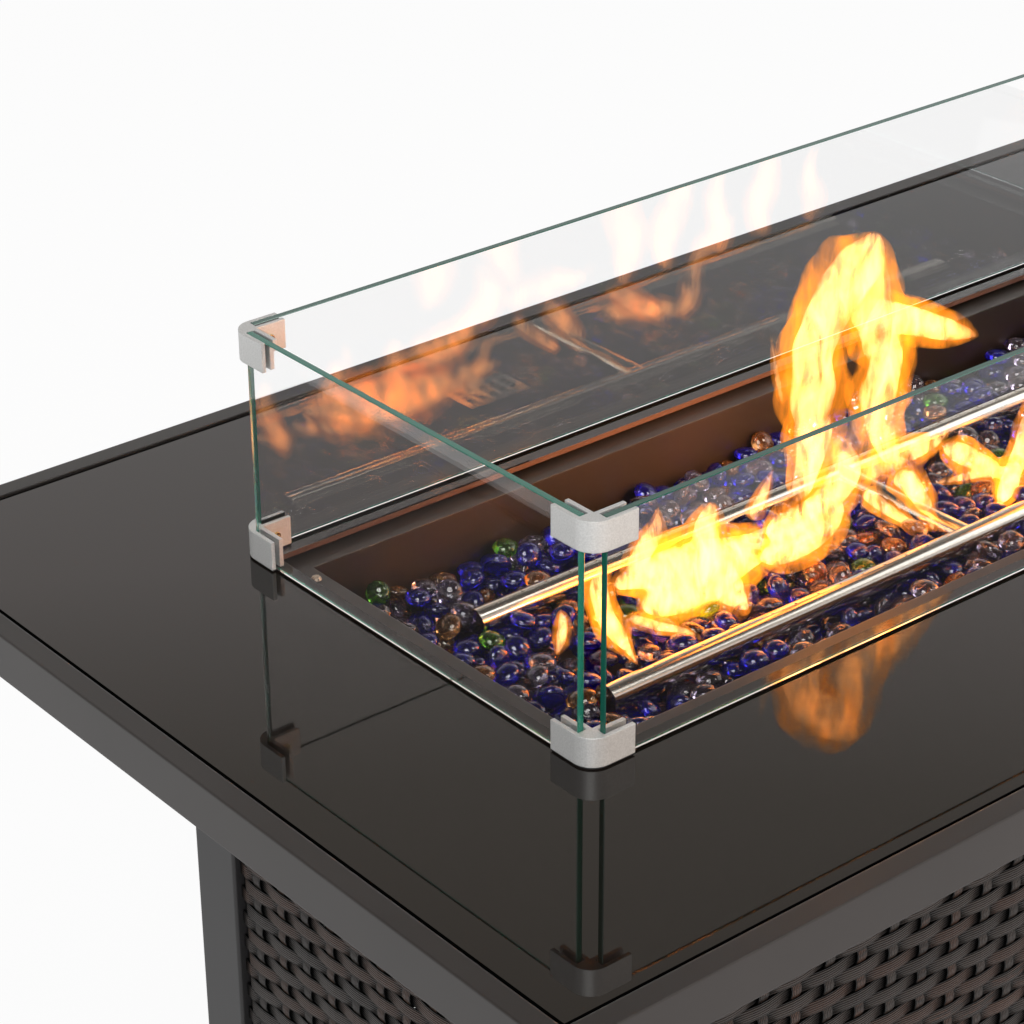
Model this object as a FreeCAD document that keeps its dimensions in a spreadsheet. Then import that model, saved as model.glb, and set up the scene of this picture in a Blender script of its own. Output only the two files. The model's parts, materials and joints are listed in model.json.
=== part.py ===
import FreeCAD, Part
import math
import os
import re
import Sketcher

# A rectangular gas fire pit table: a glass top in a metal rim, a sunk burner pan with a bed of
# glass beads, a clamped glass wind guard, and a wicker clad base with a door for the gas bottle.
# X runs along the length, -Y is the front, +Z is up, and the feet stand on z = 0.

SIZES = {
    # Table top
    "table_length": 1310,
    "table_width": 762,
    "table_height": 630,
    "rim_width": 16,
    "rim_height": 34,
    "rim_wall": 1.5,
    "rim_edge_radius": 1,
    "ledge_depth": 20,
    "mitre_gap": 0.3,
    "glass_gap": 1.6,
    "glass_thickness": 5,
    "glass_drop": 1.5,
    "glass_arris": 0.8,
    "glass_tape": 1,
    "pad_size": 16,
    "pad_pitch": 380,
    "pad_edge_gap": 1,
    "pad_margin": 4,
    "pad_end_inset": 80,
    "bracket_leg": 70,
    "bracket_wall": 3,
    "bracket_height": 16,
    "bracket_drop": 1,
    "rim_screw_tip": 3,
    "rim_screw_share": 0.6,
    # Cut-out in the glass and the pan in it
    "cutout_corner": 3,
    "pan_frame_gap": 15.1,
    "pan_rail_gap": 50.9,
    "pan_inset": 17.6,
    "pan_drop": 3,
    "pan_wall": 1.2,
    "pan_depth": 70,
    "pan_flange": 60,
    "pan_screw_edge": 8.1,
    "pan_screw_end": 14.9,
    "pan_screw_slot": 0.8,
    "pan_screw_radius": 4,
    "pan_screw_head": 2,
    "pan_screw_shank": 2.2,
    "pan_screw_length": 9,
    # Rails under the glass
    "support_width": 30,
    "support_height": 20,
    "support_wall": 1.5,
    "support_shift": 15,
    "support_pan_gap": 1.9,
    # Burner
    "burner_tube": 19,
    "cross_tube": 18.2,
    "burner_wall": 1.2,
    "burner_length": 700,
    "burner_spread": 134,
    "burner_depth": 45,
    "burner_port": 1.8,
    "burner_port_pitch": 22,
    "inlet_radius": 8.5,
    "inlet_collar": 15,
    "inlet_collar_height": 3,
    "inlet_bore_gap": 0.5,
    "lock_nut_size": 34,
    "lock_nut_height": 7,
    "elbow_radius": 12,
    "elbow_reach": 32,
    "mixer_radius": 13,
    "mixer_length": 45,
    "mixer_vent": 8,
    "orifice_size": 18,
    "orifice_length": 16,
    "pipe_radius": 5,
    "pipe_wall": 1,
    "elbow_drop": 16.3,
    "elbow_wall": 2,
    "elbow_depth": 14,
    "inlet_stop": 6,
    "nut_seat_gap": 0.3,
    "jet_radius": 0.8,
    "jet_tip_radius": 3,
    "jet_tip_length": 8,
    "jet_tip_gap": 0.05,
    "thread_clearance": 0.05,
    # Beads
    "bed_depth": 28,
    "bed_clearance": 1,
    "bed_floor_gap": 0.3,
    # Igniter box in the pan
    "box_x": -120,
    "box_y": 15,
    "box_length": 60,
    "box_width": 32,
    "box_height": 40,
    "box_wall": 0.8,
    "cover_skirt": 8,
    "cover_hole": 8.4,
    "cover_pitch": 11,
    "cover_row_pitch": 13,
    "cover_gap": 0.2,
    "probe_shift": 12,
    "spark_wire_radius": 0.9,
    "spark_wire_reach": 8,
    "ceramic_shoulder": 1.5,
    "ceramic_shoulder_height": 5,
    "probe_collar": 2,
    "probe_collar_height": 6,
    "probe_nose": 3,
    "electrode_radius": 3.5,
    "electrode_length": 24,
    "probe_radius": 2.5,
    "probe_length": 30,
    # Wind guard
    "guard_end_margin": 16.05,
    "guard_side_margin": 16.6,
    "guard_height": 170.2,
    "pane_thickness": 5,
    "pane_arris": 0.5,
    "clamp_height": 21,
    "clamp_leg": 37,
    "clamp_inner_leg": 36,
    "clamp_wall": 3,
    "clamp_slot": 7.1,
    "clamp_corner": 15,
    "clamp_web": 11.4,
    "pane_end_gap": 0.4,
    "clamp_pad": 1.4,
    "clamp_pad_inset": 0.8,
    "grub_radius": 2.5,
    "grub_length": 6.4,
    "grub_reach": 24,
    "grub_socket": 1.25,
    "grub_socket_depth": 2,
    "grub_bore_gap": 0.02,
    "guard_lift_gap": 0.1,
    # Base
    "base_length": 950,
    "base_width": 510,
    "leg_size": 50,
    "leg_wall": 1.5,
    "leg_radius": 2.5,
    "leg_plate": 4,
    "foot_gap": 14,
    "foot_radius": 17,
    "foot_height": 9,
    "stem_radius": 4,
    "stem_length": 40,
    "stem_gap": 0.05,
    "foot_travel": 12,
    "panel_gap": 1.5,
    "panel_bottom": 50,
    "frame_tube": 20,
    "frame_wall": 1.2,
    "wicker_thickness": 8,
    "wicker_recess": 1.5,
    "wicker_seat": 0.3,
    "shelf_wall": 2,
    "shelf_lip": 18,
    "ring_radius": 104,
    "ring_height": 14,
    "ring_x": 245,
    "ring_wall": 2,
    "bolt_radius": 3,
    "bolt_head": 5.5,
    "bolt_head_height": 3,
    "bolt_clearance": 0.1,
    "leg_bolt_shift": 14,
    "panel_bolt_low_inset": 70,
    "panel_bolt_high_inset": 77.8,
    "bolt_tip": 2,
    "leg_bore_depth": 14,
    "bolt_socket_share": 0.6,
    # Right end: fascia, valve, knob and igniter
    "fascia_height": 98,
    "fascia_wall": 1.5,
    "fascia_return": 20,
    "fascia_recess": 4,
    "sill_gap": 2,
    "valve_size": 34,
    "valve_depth": 24,
    "valve_drop": 28,
    "valve_inset": 12,
    "valve_way": 3,
    "valve_stem_way_gap": 0.3,
    "fitting_way": 3.5,
    "fitting_flange": 3,
    "fitting_flange_length": 6,
    "fitting_way_start": 3,
    "neck_wall": 4,
    "stem_bore_gap": 1,
    "valve_stem_radius": 4,
    "stem_clearance": 0.08,
    "knob_radius": 21,
    "knob_height": 20,
    "knob_skirt": 25,
    "knob_skirt_height": 4,
    "knob_gap": 6,
    "knob_travel": 3,
    "knob_stop_gap": 2,
    "knob_bore": 8,
    "knob_draft": 2,
    "knob_skirt_draft": 1,
    "knob_nose": 1.2,
    "knob_nose_draft": 1.5,
    "grip_width": 7,
    "grip_height": 9,
    "grip_end": 4.5,
    "mark_width": 1.6,
    "mark_depth": 2,
    "mark_length": 7,
    "mark_end": 6,
    "stem_seat": 4,
    "collar_radius": 8,
    "collar_length": 5,
    "collar_rest": 0.5,
    "igniter_y": -95,
    "igniter_radius": 11,
    "igniter_length": 38,
    "igniter_flange": 15,
    "igniter_flange_height": 3,
    "button_radius": 8,
    "button_height": 8,
    "button_travel": 4,
    "button_gap": 0.1,
    "button_stop_gap": 0.5,
    "igniter_nut": 4,
    "fitting_radius": 7.94,
    "fitting_length": 16,
    # Door
    "door_gap": 3,
    "hinge_offset": 5,
    "hinge_radius": 5,
    "hinge_pin_radius": 2.5,
    "hinge_pin_gap": 0.06,
    "hinge_height": 30,
    "hinge_inset": 45,
    "hinge_plate": 2,
    "hinge_leaf": 30,
    "hinge_leg_leaf": 26.5,
    "knuckle_gap": 0.3,
    "handle_length": 110,
    "handle_radius": 5,
    "handle_reach": 26,
    "handle_inset": 30,
    "handle_drop": 130,
    "handle_post_inset": 12,
    "handle_rose": 2,
    "catch_width": 14,
    "catch_height": 44,
    "catch_depth": 12,
    "catch_gap": 0.5,
}

# Sizes and places that follow from the driving ones
DERIVED = {
    "frame_outer_x": "base_length / 2 - wicker_recess - wicker_thickness - wicker_seat",
    "frame_outer_y": "base_width / 2 - wicker_recess - wicker_thickness - wicker_seat",
    "leg_x": "base_length / 2 - leg_size / 2",
    "leg_y": "base_width / 2 - leg_size / 2",
    "support_long_y": "leg_y - support_shift",
    "pan_length": "2 * (frame_outer_x - frame_tube - pan_frame_gap - pan_wall)",
    "pan_width": "2 * (support_long_y - support_width / 2 - pan_rail_gap - pan_wall)",
    "support_short_x": "pan_length / 2 + pan_wall + support_pan_gap + support_width / 2",
    "cutout_length": "pan_length + 2 * pan_inset",
    "cutout_width": "pan_width + 2 * pan_inset",
    "guard_length": "cutout_length + 2 * guard_end_margin",
    "guard_width": "cutout_width + 2 * guard_side_margin",
    "pan_screw_x": "pan_length / 2 + pan_screw_edge",
    "pan_screw_y": "pan_width / 2 - pan_screw_end",
    "glass_top": "table_height - glass_drop",
    "glass_under": "glass_top - glass_thickness",
    "ledge_top": "glass_under - glass_tape",
    "rim_under": "table_height - rim_height",
    "flange_top": "glass_under - pan_drop",
    "support_top": "flange_top - pan_wall",
    "support_under": "support_top - support_height",
    "pan_floor": "flange_top - pan_depth",
    "burner_axis": "glass_top - burner_depth",
    "bed_top": "pan_floor + bed_depth",
    "tube_radius": "burner_tube / 2",
    "pan_under": "pan_floor - pan_wall",
    "nut_under": "pan_under - lock_nut_height",
    "pipe_z": "nut_under - elbow_drop",
    "mixer_start": "elbow_reach",
    "orifice_start": "mixer_start + mixer_length",
    "pipe_start": "orifice_start + orifice_length",
    "guard_under": "glass_top + clamp_pad",
    "guard_top": "glass_top + guard_height + clamp_pad",
    "clamp_x": "guard_length / 2 + clamp_wall",
    "clamp_y": "guard_width / 2 + clamp_wall",
    "clamp_depth": "clamp_wall * 2 + clamp_slot",
    "leg_top": "support_under",
    "leg_under": "foot_gap",
    "leg_bolt_y": "leg_y - leg_bolt_shift",
    "bay_length": "base_length - 2 * leg_size",
    "bay_width": "base_width - 2 * leg_size",
    "skin_length": "bay_length - 2 * panel_gap",
    "skin_width": "bay_width - 2 * panel_gap",
    "panel_top": "leg_top - panel_gap",
    "panel_bolt_low": "panel_bottom + panel_bolt_low_inset",
    "panel_bolt_high": "panel_top - panel_bolt_high_inset",
    "fascia_under": "panel_top - fascia_height",
    "fascia_face": "base_length / 2 - fascia_recess",
    "valve_z": "fascia_under + fascia_height / 2",
    "door_top": "fascia_under - sill_gap",
    "door_bottom": "panel_bottom + frame_tube + sill_gap",
    "door_width": "bay_width - 2 * door_gap",
    "hinge_x": "base_length / 2 + hinge_offset",
    "hinge_y": "bay_width / 2 - door_gap / 2",
    "knob_face": "fascia_face + knob_gap",
    "valve_back": "fascia_face - fascia_wall - valve_inset",
}

WORD = re.compile(r"[a-z][a-z_0-9]*")

doc = FreeCAD.newDocument("fire_pit_table")
dims = doc.addObject("Spreadsheet::Sheet", "dims")
CELLS = {**SIZES, **{name: "=" + formula for name, formula in DERIVED.items()}}
for row, name in enumerate(CELLS, 1):
    dims.set(f"A{row}", name)
    dims.setAlias(f"B{row}", name)
for row, content in enumerate(CELLS.values(), 1):
    dims.set(f"B{row}", str(content))
doc.recompute()

SUBPARTS = []


def expand(text):
    """Writes a formula of size names as an expression on the sheet's cells."""
    def put(match):
        word = match.group(0)
        return "dims." + word if word in CELLS else word
    return WORD.sub(put, text)


def bind(item, **formulas):
    for prop, text in formulas.items():
        item.setExpression(prop, expand(text))


def place(item, at, turn=None):
    if turn is not None:
        item.Placement = FreeCAD.Placement(FreeCAD.Vector(), turn)
    for axis, text in zip("xyz", at):
        item.setExpression("Placement.Base." + axis, expand(text))
    return item


def read(name):
    return float(dims.get(name))


def box(size, at):
    """A block from its three side lengths and its lowest corner."""
    item = doc.addObject("Part::Box", "block")
    bind(item, Length=size[0], Width=size[1], Height=size[2])
    return place(item, at)


ALONG = {
    "x": FreeCAD.Rotation(FreeCAD.Vector(0, 1, 0), 90),
    "y": FreeCAD.Rotation(FreeCAD.Vector(1, 0, 0), -90),
    "z": FreeCAD.Rotation(),
}


def rod(radius, length, at, axis="z"):
    """A round bar that starts at a point and runs along a positive axis."""
    item = doc.addObject("Part::Cylinder", "rod")
    bind(item, Radius=radius, Height=length)
    return place(item, at, ALONG[axis])


def taper(low, high, length, at, axis="z"):
    """A cone frustum that starts at a point and runs along a positive axis."""
    item = doc.addObject("Part::Cone", "taper")
    bind(item, Radius1=low, Radius2=high, Height=length)
    return place(item, at, ALONG[axis])


def fuse(*parts):
    item = doc.addObject("Part::MultiFuse", "joined")
    item.Shapes = list(parts)
    item.Refine = True
    return item


def cut(base, *tools):
    item = doc.addObject("Part::Cut", "cut")
    item.Base = base
    item.Tool = tools[0] if len(tools) == 1 else fuse(*tools)
    item.Refine = True
    return item


def group(*parts):
    """Separate solids that share one node."""
    item = doc.addObject("Part::Compound", "group")
    item.Links = list(parts)
    return item


def mirror(source, axis):
    item = doc.addObject("Part::Mirroring", "mirrored")
    item.Source = source
    item.Normal = FreeCAD.Vector(axis == "x", axis == "y", axis == "z")
    return item


def both(source, axis):
    return [source, mirror(source, axis)]


def corners(source):
    """A part with its images in the other three corners."""
    right = mirror(source, "x")
    return [source, right, mirror(source, "y"), mirror(right, "y")]


def tube(size, wall, at, axis):
    """A square hollow bar along an axis, open at both ends."""
    outer = box(size, at)
    run = "xyz".index(axis)
    inner_size = [f"{s} - 2 * {wall}" for s in size]
    inner_at = [f"{a} + {wall}" for a in at]
    inner_size[run] = f"{size[run]} + 2"
    inner_at[run] = f"{at[run]} - 1"
    return cut(outer, box(inner_size, inner_at))


def subpart(item, label):
    item.Label = label
    SUBPARTS.append(item)
    return item


def centred_rectangle(sketch, width, depth, tag):
    """A rectangle about the sketch's origin, with its two sides bound to the sheet."""
    first = sketch.GeometryCount
    half = 10.0
    spots = [(-half, -half), (half, -half), (half, half), (-half, half)]
    for k in range(4):
        a, b = spots[k], spots[(k + 1) % 4]
        line = Part.LineSegment(FreeCAD.Vector(a[0], a[1], 0), FreeCAD.Vector(b[0], b[1], 0))
        sketch.addGeometry(line, False)
    for k in range(4):
        join = Sketcher.Constraint("Coincident", first + k, 2, first + (k + 1) % 4, 1)
        sketch.addConstraint(join)
    sketch.addConstraint(Sketcher.Constraint("Horizontal", first))
    sketch.addConstraint(Sketcher.Constraint("Horizontal", first + 2))
    sketch.addConstraint(Sketcher.Constraint("Vertical", first + 1))
    sketch.addConstraint(Sketcher.Constraint("Vertical", first + 3))
    sketch.addConstraint(Sketcher.Constraint("Symmetric", first, 1, first + 1, 2, -1, 1))
    for name, edge, text in ((tag + "_width", first, width), (tag + "_depth", first + 1, depth)):
        number = sketch.addConstraint(Sketcher.Constraint("Distance", edge, 2 * half))
        sketch.renameConstraint(number, name)
        sketch.setExpression("Constraints." + name, expand(text))


def plate_body(label, rectangles, thickness, at):
    """A padded plate whose outline and holes are rectangles about one centre."""
    body = doc.addObject("PartDesign::Body", label)
    ground = next(o for o in body.Origin.OriginFeatures if o.Role == "XY_Plane")
    sketch = body.newObject("Sketcher::SketchObject", label + "_outline")
    sketch.AttachmentSupport = [(ground, "")]
    sketch.MapMode = "FlatFace"
    for k, (width, depth) in enumerate(rectangles):
        centred_rectangle(sketch, width, depth, "loop" + str(k))
    pad = body.newObject("PartDesign::Pad", label + "_pad")
    pad.Profile = sketch
    bind(pad, Length=thickness)
    place(body, at)
    doc.recompute()
    return body, pad


def dress(body, feature, kind, size, choose):
    """Rounds or chamfers the edges of a feature that a test picks."""
    names = []
    for number, edge in enumerate(feature.Shape.Edges, 1):
        if choose(edge):
            names.append("Edge" + str(number))
    dressing = body.newObject("PartDesign::" + kind, body.Name + "_" + kind.lower())
    dressing.Base = (feature, names)
    bind(dressing, **{"Radius" if kind == "Fillet" else "Size": size})
    doc.recompute()
    return dressing


def upright(edge):
    return abs(edge.tangentAt(edge.FirstParameter).z) > 0.99


def lies_level(edge):
    return edge.BoundBox.ZLength < 1e-6


# Rim: four mitred box sections with an inner ledge that carries the glass

def rim_bar(length, outer_y):
    """A rim member along X with its outer face at outer_y, before the mitres."""
    low = "-(" + length + ") / 2"
    shell = box((length, "rim_width", "rim_height"), (low, outer_y, "rim_under"))
    hollow = box((length + " + 2", "rim_width - 2 * rim_wall", "rim_height - 2 * rim_wall"),
                 (low + " - 1", outer_y + " + rim_wall", "rim_under + rim_wall"))
    ledge = box((length, "ledge_depth + rim_wall", "rim_wall"),
                (low, outer_y + " + rim_width - rim_wall", "ledge_top - rim_wall"))
    rounding = box((length + " + 2", "rim_edge_radius", "rim_edge_radius"),
                   (low + " - 1", outer_y, "table_height - rim_edge_radius"))
    round_bar = rod("rim_edge_radius", length + " + 4",
                    (low + " - 2", outer_y + " + rim_edge_radius", "table_height - rim_edge_radius"), "x")
    section = fuse(cut(shell, hollow), ledge)
    return cut(section, cut(rounding, round_bar))


def mitre_tools(length, outer_y):
    """Blocks turned by 45 degrees that trim both ends of a bar along X."""
    reach = "4 * (rim_width + ledge_depth)"
    tools = []
    for side, angle, lean in (("-", 135, "+"), ("", -45, "-")):
        item = doc.addObject("Part::Box", "mitre")
        bind(item, Length=reach, Width=reach, Height="rim_height + 4")
        turn = FreeCAD.Rotation(FreeCAD.Vector(0, 0, 1), angle)
        corner = f"{side}(({length}) / 2 - mitre_gap * 0.7071)"
        # The trimming face starts inside the bar and runs on past its outer corner.
        start = (f"{corner} {lean} {reach} * 0.5", f"{outer_y} + {reach} * 0.5", "rim_under - 2")
        tools.append(place(item, start, turn))
    return tools


def rim_screw_rods(radius, length, outer, half, start):
    """Rods through the bracket and the inner wall of a bar along X, one near each end."""
    spot = f"{half} - rim_width - bracket_wall - bracket_leg * rim_screw_share"
    level = "ledge_top - rim_wall - bracket_height / 2 - bracket_drop"
    rods = []
    for side in ("-", ""):
        rods.append(rod(radius, length, (f"{side}({spot})", f"{outer} + {start}", level), "y"))
    return rods


def make_rim():
    bore = "bolt_radius + bolt_clearance"
    ends = (("front", "table_length", "table_width / 2"), ("left", "table_width", "table_length / 2"))
    bars = {}
    for side, length, reach in ends:
        edge = "-" + reach
        holes = rim_screw_rods(bore, "rim_width", edge, length + " / 2", "rim_width / 2")
        bars[side] = cut(rim_bar(length, edge), *mitre_tools(length, edge), *holes)
    subpart(bars["front"], "rim_front")
    subpart(mirror(bars["front"], "y"), "rim_back")
    # The short member is drawn along X and turned a quarter turn onto the left end.
    left = group(bars["left"])
    left.Placement = FreeCAD.Placement(FreeCAD.Vector(), FreeCAD.Rotation(FreeCAD.Vector(0, 0, 1), -90))
    subpart(left, "rim_left")
    subpart(mirror(left, "x"), "rim_right")


def rim_screws():
    """The screws of one front and one left bar end, with heads on the bracket's inner face."""
    level = "ledge_top - rim_wall - bracket_height / 2 - bracket_drop"
    inset = "rim_width + bracket_wall"
    along = "bracket_leg * rim_screw_share"
    parts = []
    for axis in ("y", "x"):
        spot = ["-table_length / 2 + " + inset, "-table_width / 2 + " + inset, level]
        spot["yx".index(axis)] += " + " + along
        run = "xyz".index(axis)
        head = rod("bolt_head", "bolt_head_height", spot, axis)
        socket = list(spot)
        socket[run] += " + bolt_head_height / 2"
        tail = list(spot)
        tail[run] += " - bracket_wall - rim_wall - rim_screw_tip"
        shank = rod("bolt_radius", "bracket_wall + rim_wall + rim_screw_tip + 0.5", tail, axis)
        hexagon_way = rod("bolt_radius * bolt_socket_share", "bolt_head_height", socket, axis)
        parts.append(cut(fuse(head, shank), hexagon_way))
    return parts


def make_corner_brackets():
    inner_x = "-table_length / 2 + rim_width"
    inner_y = "-table_width / 2 + rim_width"
    low = "ledge_top - rim_wall - bracket_height - bracket_drop"
    plate = box(("bracket_leg", "bracket_wall", "bracket_height"), (inner_x, inner_y, low))
    other = box(("bracket_wall", "bracket_leg", "bracket_height"), (inner_x, inner_y, low))
    bore = "bolt_radius + bolt_clearance"
    level = low + " + bracket_height / 2"
    shift = " + bracket_wall + bracket_leg * rim_screw_share"
    holes = [rod(bore, "bracket_wall + 2", (inner_x + shift, inner_y + " - 1", level), "y"),
             rod(bore, "bracket_wall + 2", (inner_x + " - 1", inner_y + shift, level), "x")]
    subpart(group(*corners(cut(fuse(plate, other), *holes))), "rim_corner_brackets")
    parts = []
    for screw in rim_screws():
        parts += corners(screw)
    subpart(group(*parts), "rim_screws")


def leg_bolt_rods(radius, low, length):
    return corners(rod(radius, length, ("-leg_x", "-leg_bolt_y", low)))


def make_support_rails():
    reach = "table_length - 2 * rim_width"
    long_rail = tube([reach, "support_width", "support_height"], "support_wall",
                     ["-(" + reach + ") / 2", "-support_long_y - support_width / 2", "support_under"], "x")
    gap = "2 * support_long_y - support_width"
    short_rail = tube(["support_width", gap, "support_height"], "support_wall",
                      ["-support_short_x - support_width / 2", "-(" + gap + ") / 2", "support_under"], "y")
    bolts = leg_bolt_rods("bolt_radius + bolt_clearance", "support_under - 1", "support_height + 2")
    screws = pan_screw_rods("pan_screw_shank + bolt_clearance")
    subpart(cut(group(*both(long_rail, "y"), *both(short_rail, "x")), fuse(*bolts, *screws)), "support_rails")


def make_glass_top():
    inset = "2 * (rim_width + glass_gap)"
    outline = ("table_length - " + inset, "table_width - " + inset)
    body, pad = plate_body("tabletop_glass", [outline, ("cutout_length", "cutout_width")],
                           "glass_thickness", ("0", "0", "glass_under"))
    rim_reach = read("cutout_length") / 2 + 1

    def cutout_corner(edge):
        return upright(edge) and abs(edge.Vertexes[0].X) < rim_reach
    rounded = dress(body, pad, "Fillet", "cutout_corner", cutout_corner)
    thickness = read("glass_thickness")
    under = read("table_height") - read("glass_drop") - thickness

    def on_top(edge):
        height = edge.BoundBox.ZMax
        return lies_level(edge) and (abs(height - thickness) < 1e-6 or abs(height - under - thickness) < 1e-6)
    dress(body, rounded, "Chamfer", "glass_arris", on_top)
    subpart(body, "tabletop_glass")


def make_glass_pads():
    """Clear bumpers: thin ones on the rim's ledge and taller ones on the rails."""
    edge_x = "-table_length / 2 + rim_width + glass_gap + pad_edge_gap"
    edge_y = "-table_width / 2 + rim_width + glass_gap + pad_edge_gap"
    thin = "glass_tape"
    parts = []
    for step in (0, 1):
        at_x = f"-pad_pitch * {step} - pad_size / 2"
        pad = box(("pad_size", "ledge_depth - pad_margin", thin), (at_x, edge_y, "ledge_top"))
        parts += both(pad, "y") if step == 0 else corners(pad)
    end = box(("ledge_depth - pad_margin", "pad_size", thin), (edge_x, "-pad_pitch / 2", "ledge_top"))
    parts += corners(end)
    tall = box(("pad_size", "pad_size", "glass_under - support_top"),
               ("-table_length / 2 + pad_end_inset", "-support_long_y - pad_size / 2", "support_top"))
    parts += corners(tall)
    subpart(group(*parts), "glass_pads")


# Fire bowl

def make_pan():
    half_x = "pan_length / 2"
    half_y = "pan_width / 2"
    shell = box(("pan_length + 2 * pan_wall", "pan_width + 2 * pan_wall", "pan_depth + pan_wall"),
                ("-" + half_x + " - pan_wall", "-" + half_y + " - pan_wall", "pan_floor - pan_wall"))
    flange = box(("pan_length + 2 * pan_flange", "pan_width + 2 * pan_flange", "pan_wall"),
                 ("-" + half_x + " - pan_flange", "-" + half_y + " - pan_flange", "flange_top - pan_wall"))
    hollow = box(("pan_length", "pan_width", "pan_depth + 1"), ("-" + half_x, "-" + half_y, "pan_floor"))
    inlet = rod("inlet_radius + inlet_bore_gap", "3 * pan_wall", ("0", "0", "pan_floor - 2 * pan_wall"))
    pan = cut(fuse(shell, flange), hollow, inlet, *pan_screw_rods("pan_screw_shank + bolt_clearance"))
    subpart(pan, "burner_pan")


def pan_screw_rods(radius):
    start = "flange_top - pan_wall - support_wall - 1"
    length = "pan_wall + support_wall + 2"
    return corners(rod(radius, length, ("-pan_screw_x", "-pan_screw_y", start)))


def make_pan_screws():
    x, y = "-pan_screw_x", "-pan_screw_y"
    head = taper("pan_screw_radius", "pan_screw_radius * 0.7", "pan_screw_head", (x, y, "flange_top"))
    shank = rod("pan_screw_shank", "pan_screw_length + 1", (x, y, "flange_top - pan_screw_length"))
    slot = box(("pan_screw_radius * 2", "pan_screw_slot", "pan_screw_head"),
               (x + " - pan_screw_radius", y + " - pan_screw_slot / 2", "flange_top + pan_screw_head / 2"))
    subpart(group(*corners(cut(fuse(head, shank), slot))), "pan_screws")


def make_burner():
    """Two long pipes and a cross pipe, capped at the ends, with a row of ports along each."""
    start = "-burner_length / 2"
    rails = []
    for side in ("-", ""):
        y = side + "burner_spread / 2"
        rails.append(rod("tube_radius", "burner_length", (start, y, "burner_axis"), "x"))
    cross = rod("cross_tube / 2", "burner_spread", ("0", "-burner_spread / 2", "burner_axis"), "y")
    inlet_low = "pipe_z + inlet_stop"
    inlet = rod("inlet_radius", "burner_axis - (" + inlet_low + ")", ("0", "0", inlet_low))
    collar = rod("inlet_collar", "inlet_collar_height", ("0", "0", "pan_floor"))
    body = fuse(*rails, cross, inlet, collar)
    bore = "tube_radius - burner_wall"
    hollows = []
    for side in ("-", ""):
        y = side + "burner_spread / 2"
        hollows.append(rod(bore, "burner_length - 2 * burner_wall",
                           (start + " + burner_wall", y, "burner_axis"), "x"))
    hollows.append(rod("cross_tube / 2 - burner_wall", "burner_spread",
                       ("0", "-burner_spread / 2", "burner_axis"), "y"))
    hollows.append(rod("inlet_radius - burner_wall * 1.5", "burner_axis - (" + inlet_low + ") + 1",
                       ("0", "0", inlet_low + " - 1")))
    count = int(read("burner_length") / read("burner_port_pitch") / 2)
    for side in ("-", ""):
        for step in range(1, count):
            for sign in ("-", ""):
                x = f"{sign}burner_port_pitch * {step}"
                spot = (x, side + "burner_spread / 2", "burner_axis")
                hollows.append(rod("burner_port / 2", "tube_radius + 2", spot))
    subpart(cut(body, *hollows), "burner")


def hexagon(size, height, at):
    """A hexagonal block across flats of size."""
    item = doc.addObject("Part::Prism", "hexagon")
    item.Polygon = 6
    bind(item, Circumradius="(" + size + ") / 1.7321", Height=height)
    return place(item, at)


def make_burner_fittings():
    nut = cut(hexagon("lock_nut_size", "lock_nut_height", ("0", "0", "nut_under")),
              rod("inlet_radius + thread_clearance", "lock_nut_height + 2", ("0", "0", "nut_under - 1")))
    subpart(nut, "burner_lock_nut")
    make_inlet_elbow()
    make_air_mixer()
    block = box(("orifice_length", "orifice_size", "orifice_size"),
                ("orifice_start", "-orifice_size / 2", "pipe_z - orifice_size / 2"))
    tip = rod("jet_tip_radius", "jet_tip_length", ("orifice_start - jet_tip_length", "0", "pipe_z"), "x")
    jet = rod("jet_radius", "orifice_length + jet_tip_length + 4",
              ("orifice_start - jet_tip_length - 2", "0", "pipe_z"), "x")
    port = rod("pipe_radius - pipe_wall", "orifice_length - 4", ("orifice_start + 4", "0", "pipe_z"), "x")
    subpart(cut(fuse(block, tip), jet, port), "gas_orifice")
    feed = "valve_back - valve_depth - (pipe_start)"
    pipe = rod("pipe_radius", feed, ("pipe_start", "0", "pipe_z"), "x")
    way = rod("pipe_radius - pipe_wall", feed + " + 2", ("pipe_start - 1", "0", "pipe_z"), "x")
    subpart(cut(pipe, way), "feed_pipe")


def make_inlet_elbow():
    """A cast elbow that turns the burner's inlet level, under the pan."""
    rise = rod("elbow_radius + elbow_wall", "nut_under - nut_seat_gap - pipe_z", ("0", "0", "pipe_z"))
    turn = doc.addObject("Part::Sphere", "turn")
    bind(turn, Radius="elbow_radius + elbow_wall")
    place(turn, ("0", "0", "pipe_z"))
    level = rod("elbow_radius", "elbow_reach", ("0", "0", "pipe_z"), "x")
    socket = rod("inlet_radius + thread_clearance", "nut_under - pipe_z", ("0", "0", "pipe_z + inlet_stop"))
    down = rod("inlet_radius - elbow_wall", "elbow_depth", ("0", "0", "pipe_z - 2"))
    across = rod("inlet_radius - elbow_wall", "elbow_reach + 2", ("0", "0", "pipe_z"), "x")
    subpart(cut(fuse(rise, turn, level), socket, down, across), "inlet_elbow")


def make_air_mixer():
    """The air shutter sleeve between the elbow and the gas orifice, open at two sides."""
    outer = rod("mixer_radius", "mixer_length", ("mixer_start", "0", "pipe_z"), "x")
    bore = rod("inlet_radius - elbow_wall", "mixer_length - 3", ("mixer_start - 1", "0", "pipe_z"), "x")
    jet = rod("jet_tip_radius + jet_tip_gap", "mixer_length", ("mixer_start + 1", "0", "pipe_z"), "x")
    vent = box(("mixer_length * 0.4", "2 * mixer_radius + 2", "mixer_vent"),
               ("mixer_start + mixer_length * 0.4", "-mixer_radius - 1", "pipe_z - mixer_vent / 2"))
    subpart(cut(outer, bore, jet, vent), "air_mixer")


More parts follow.
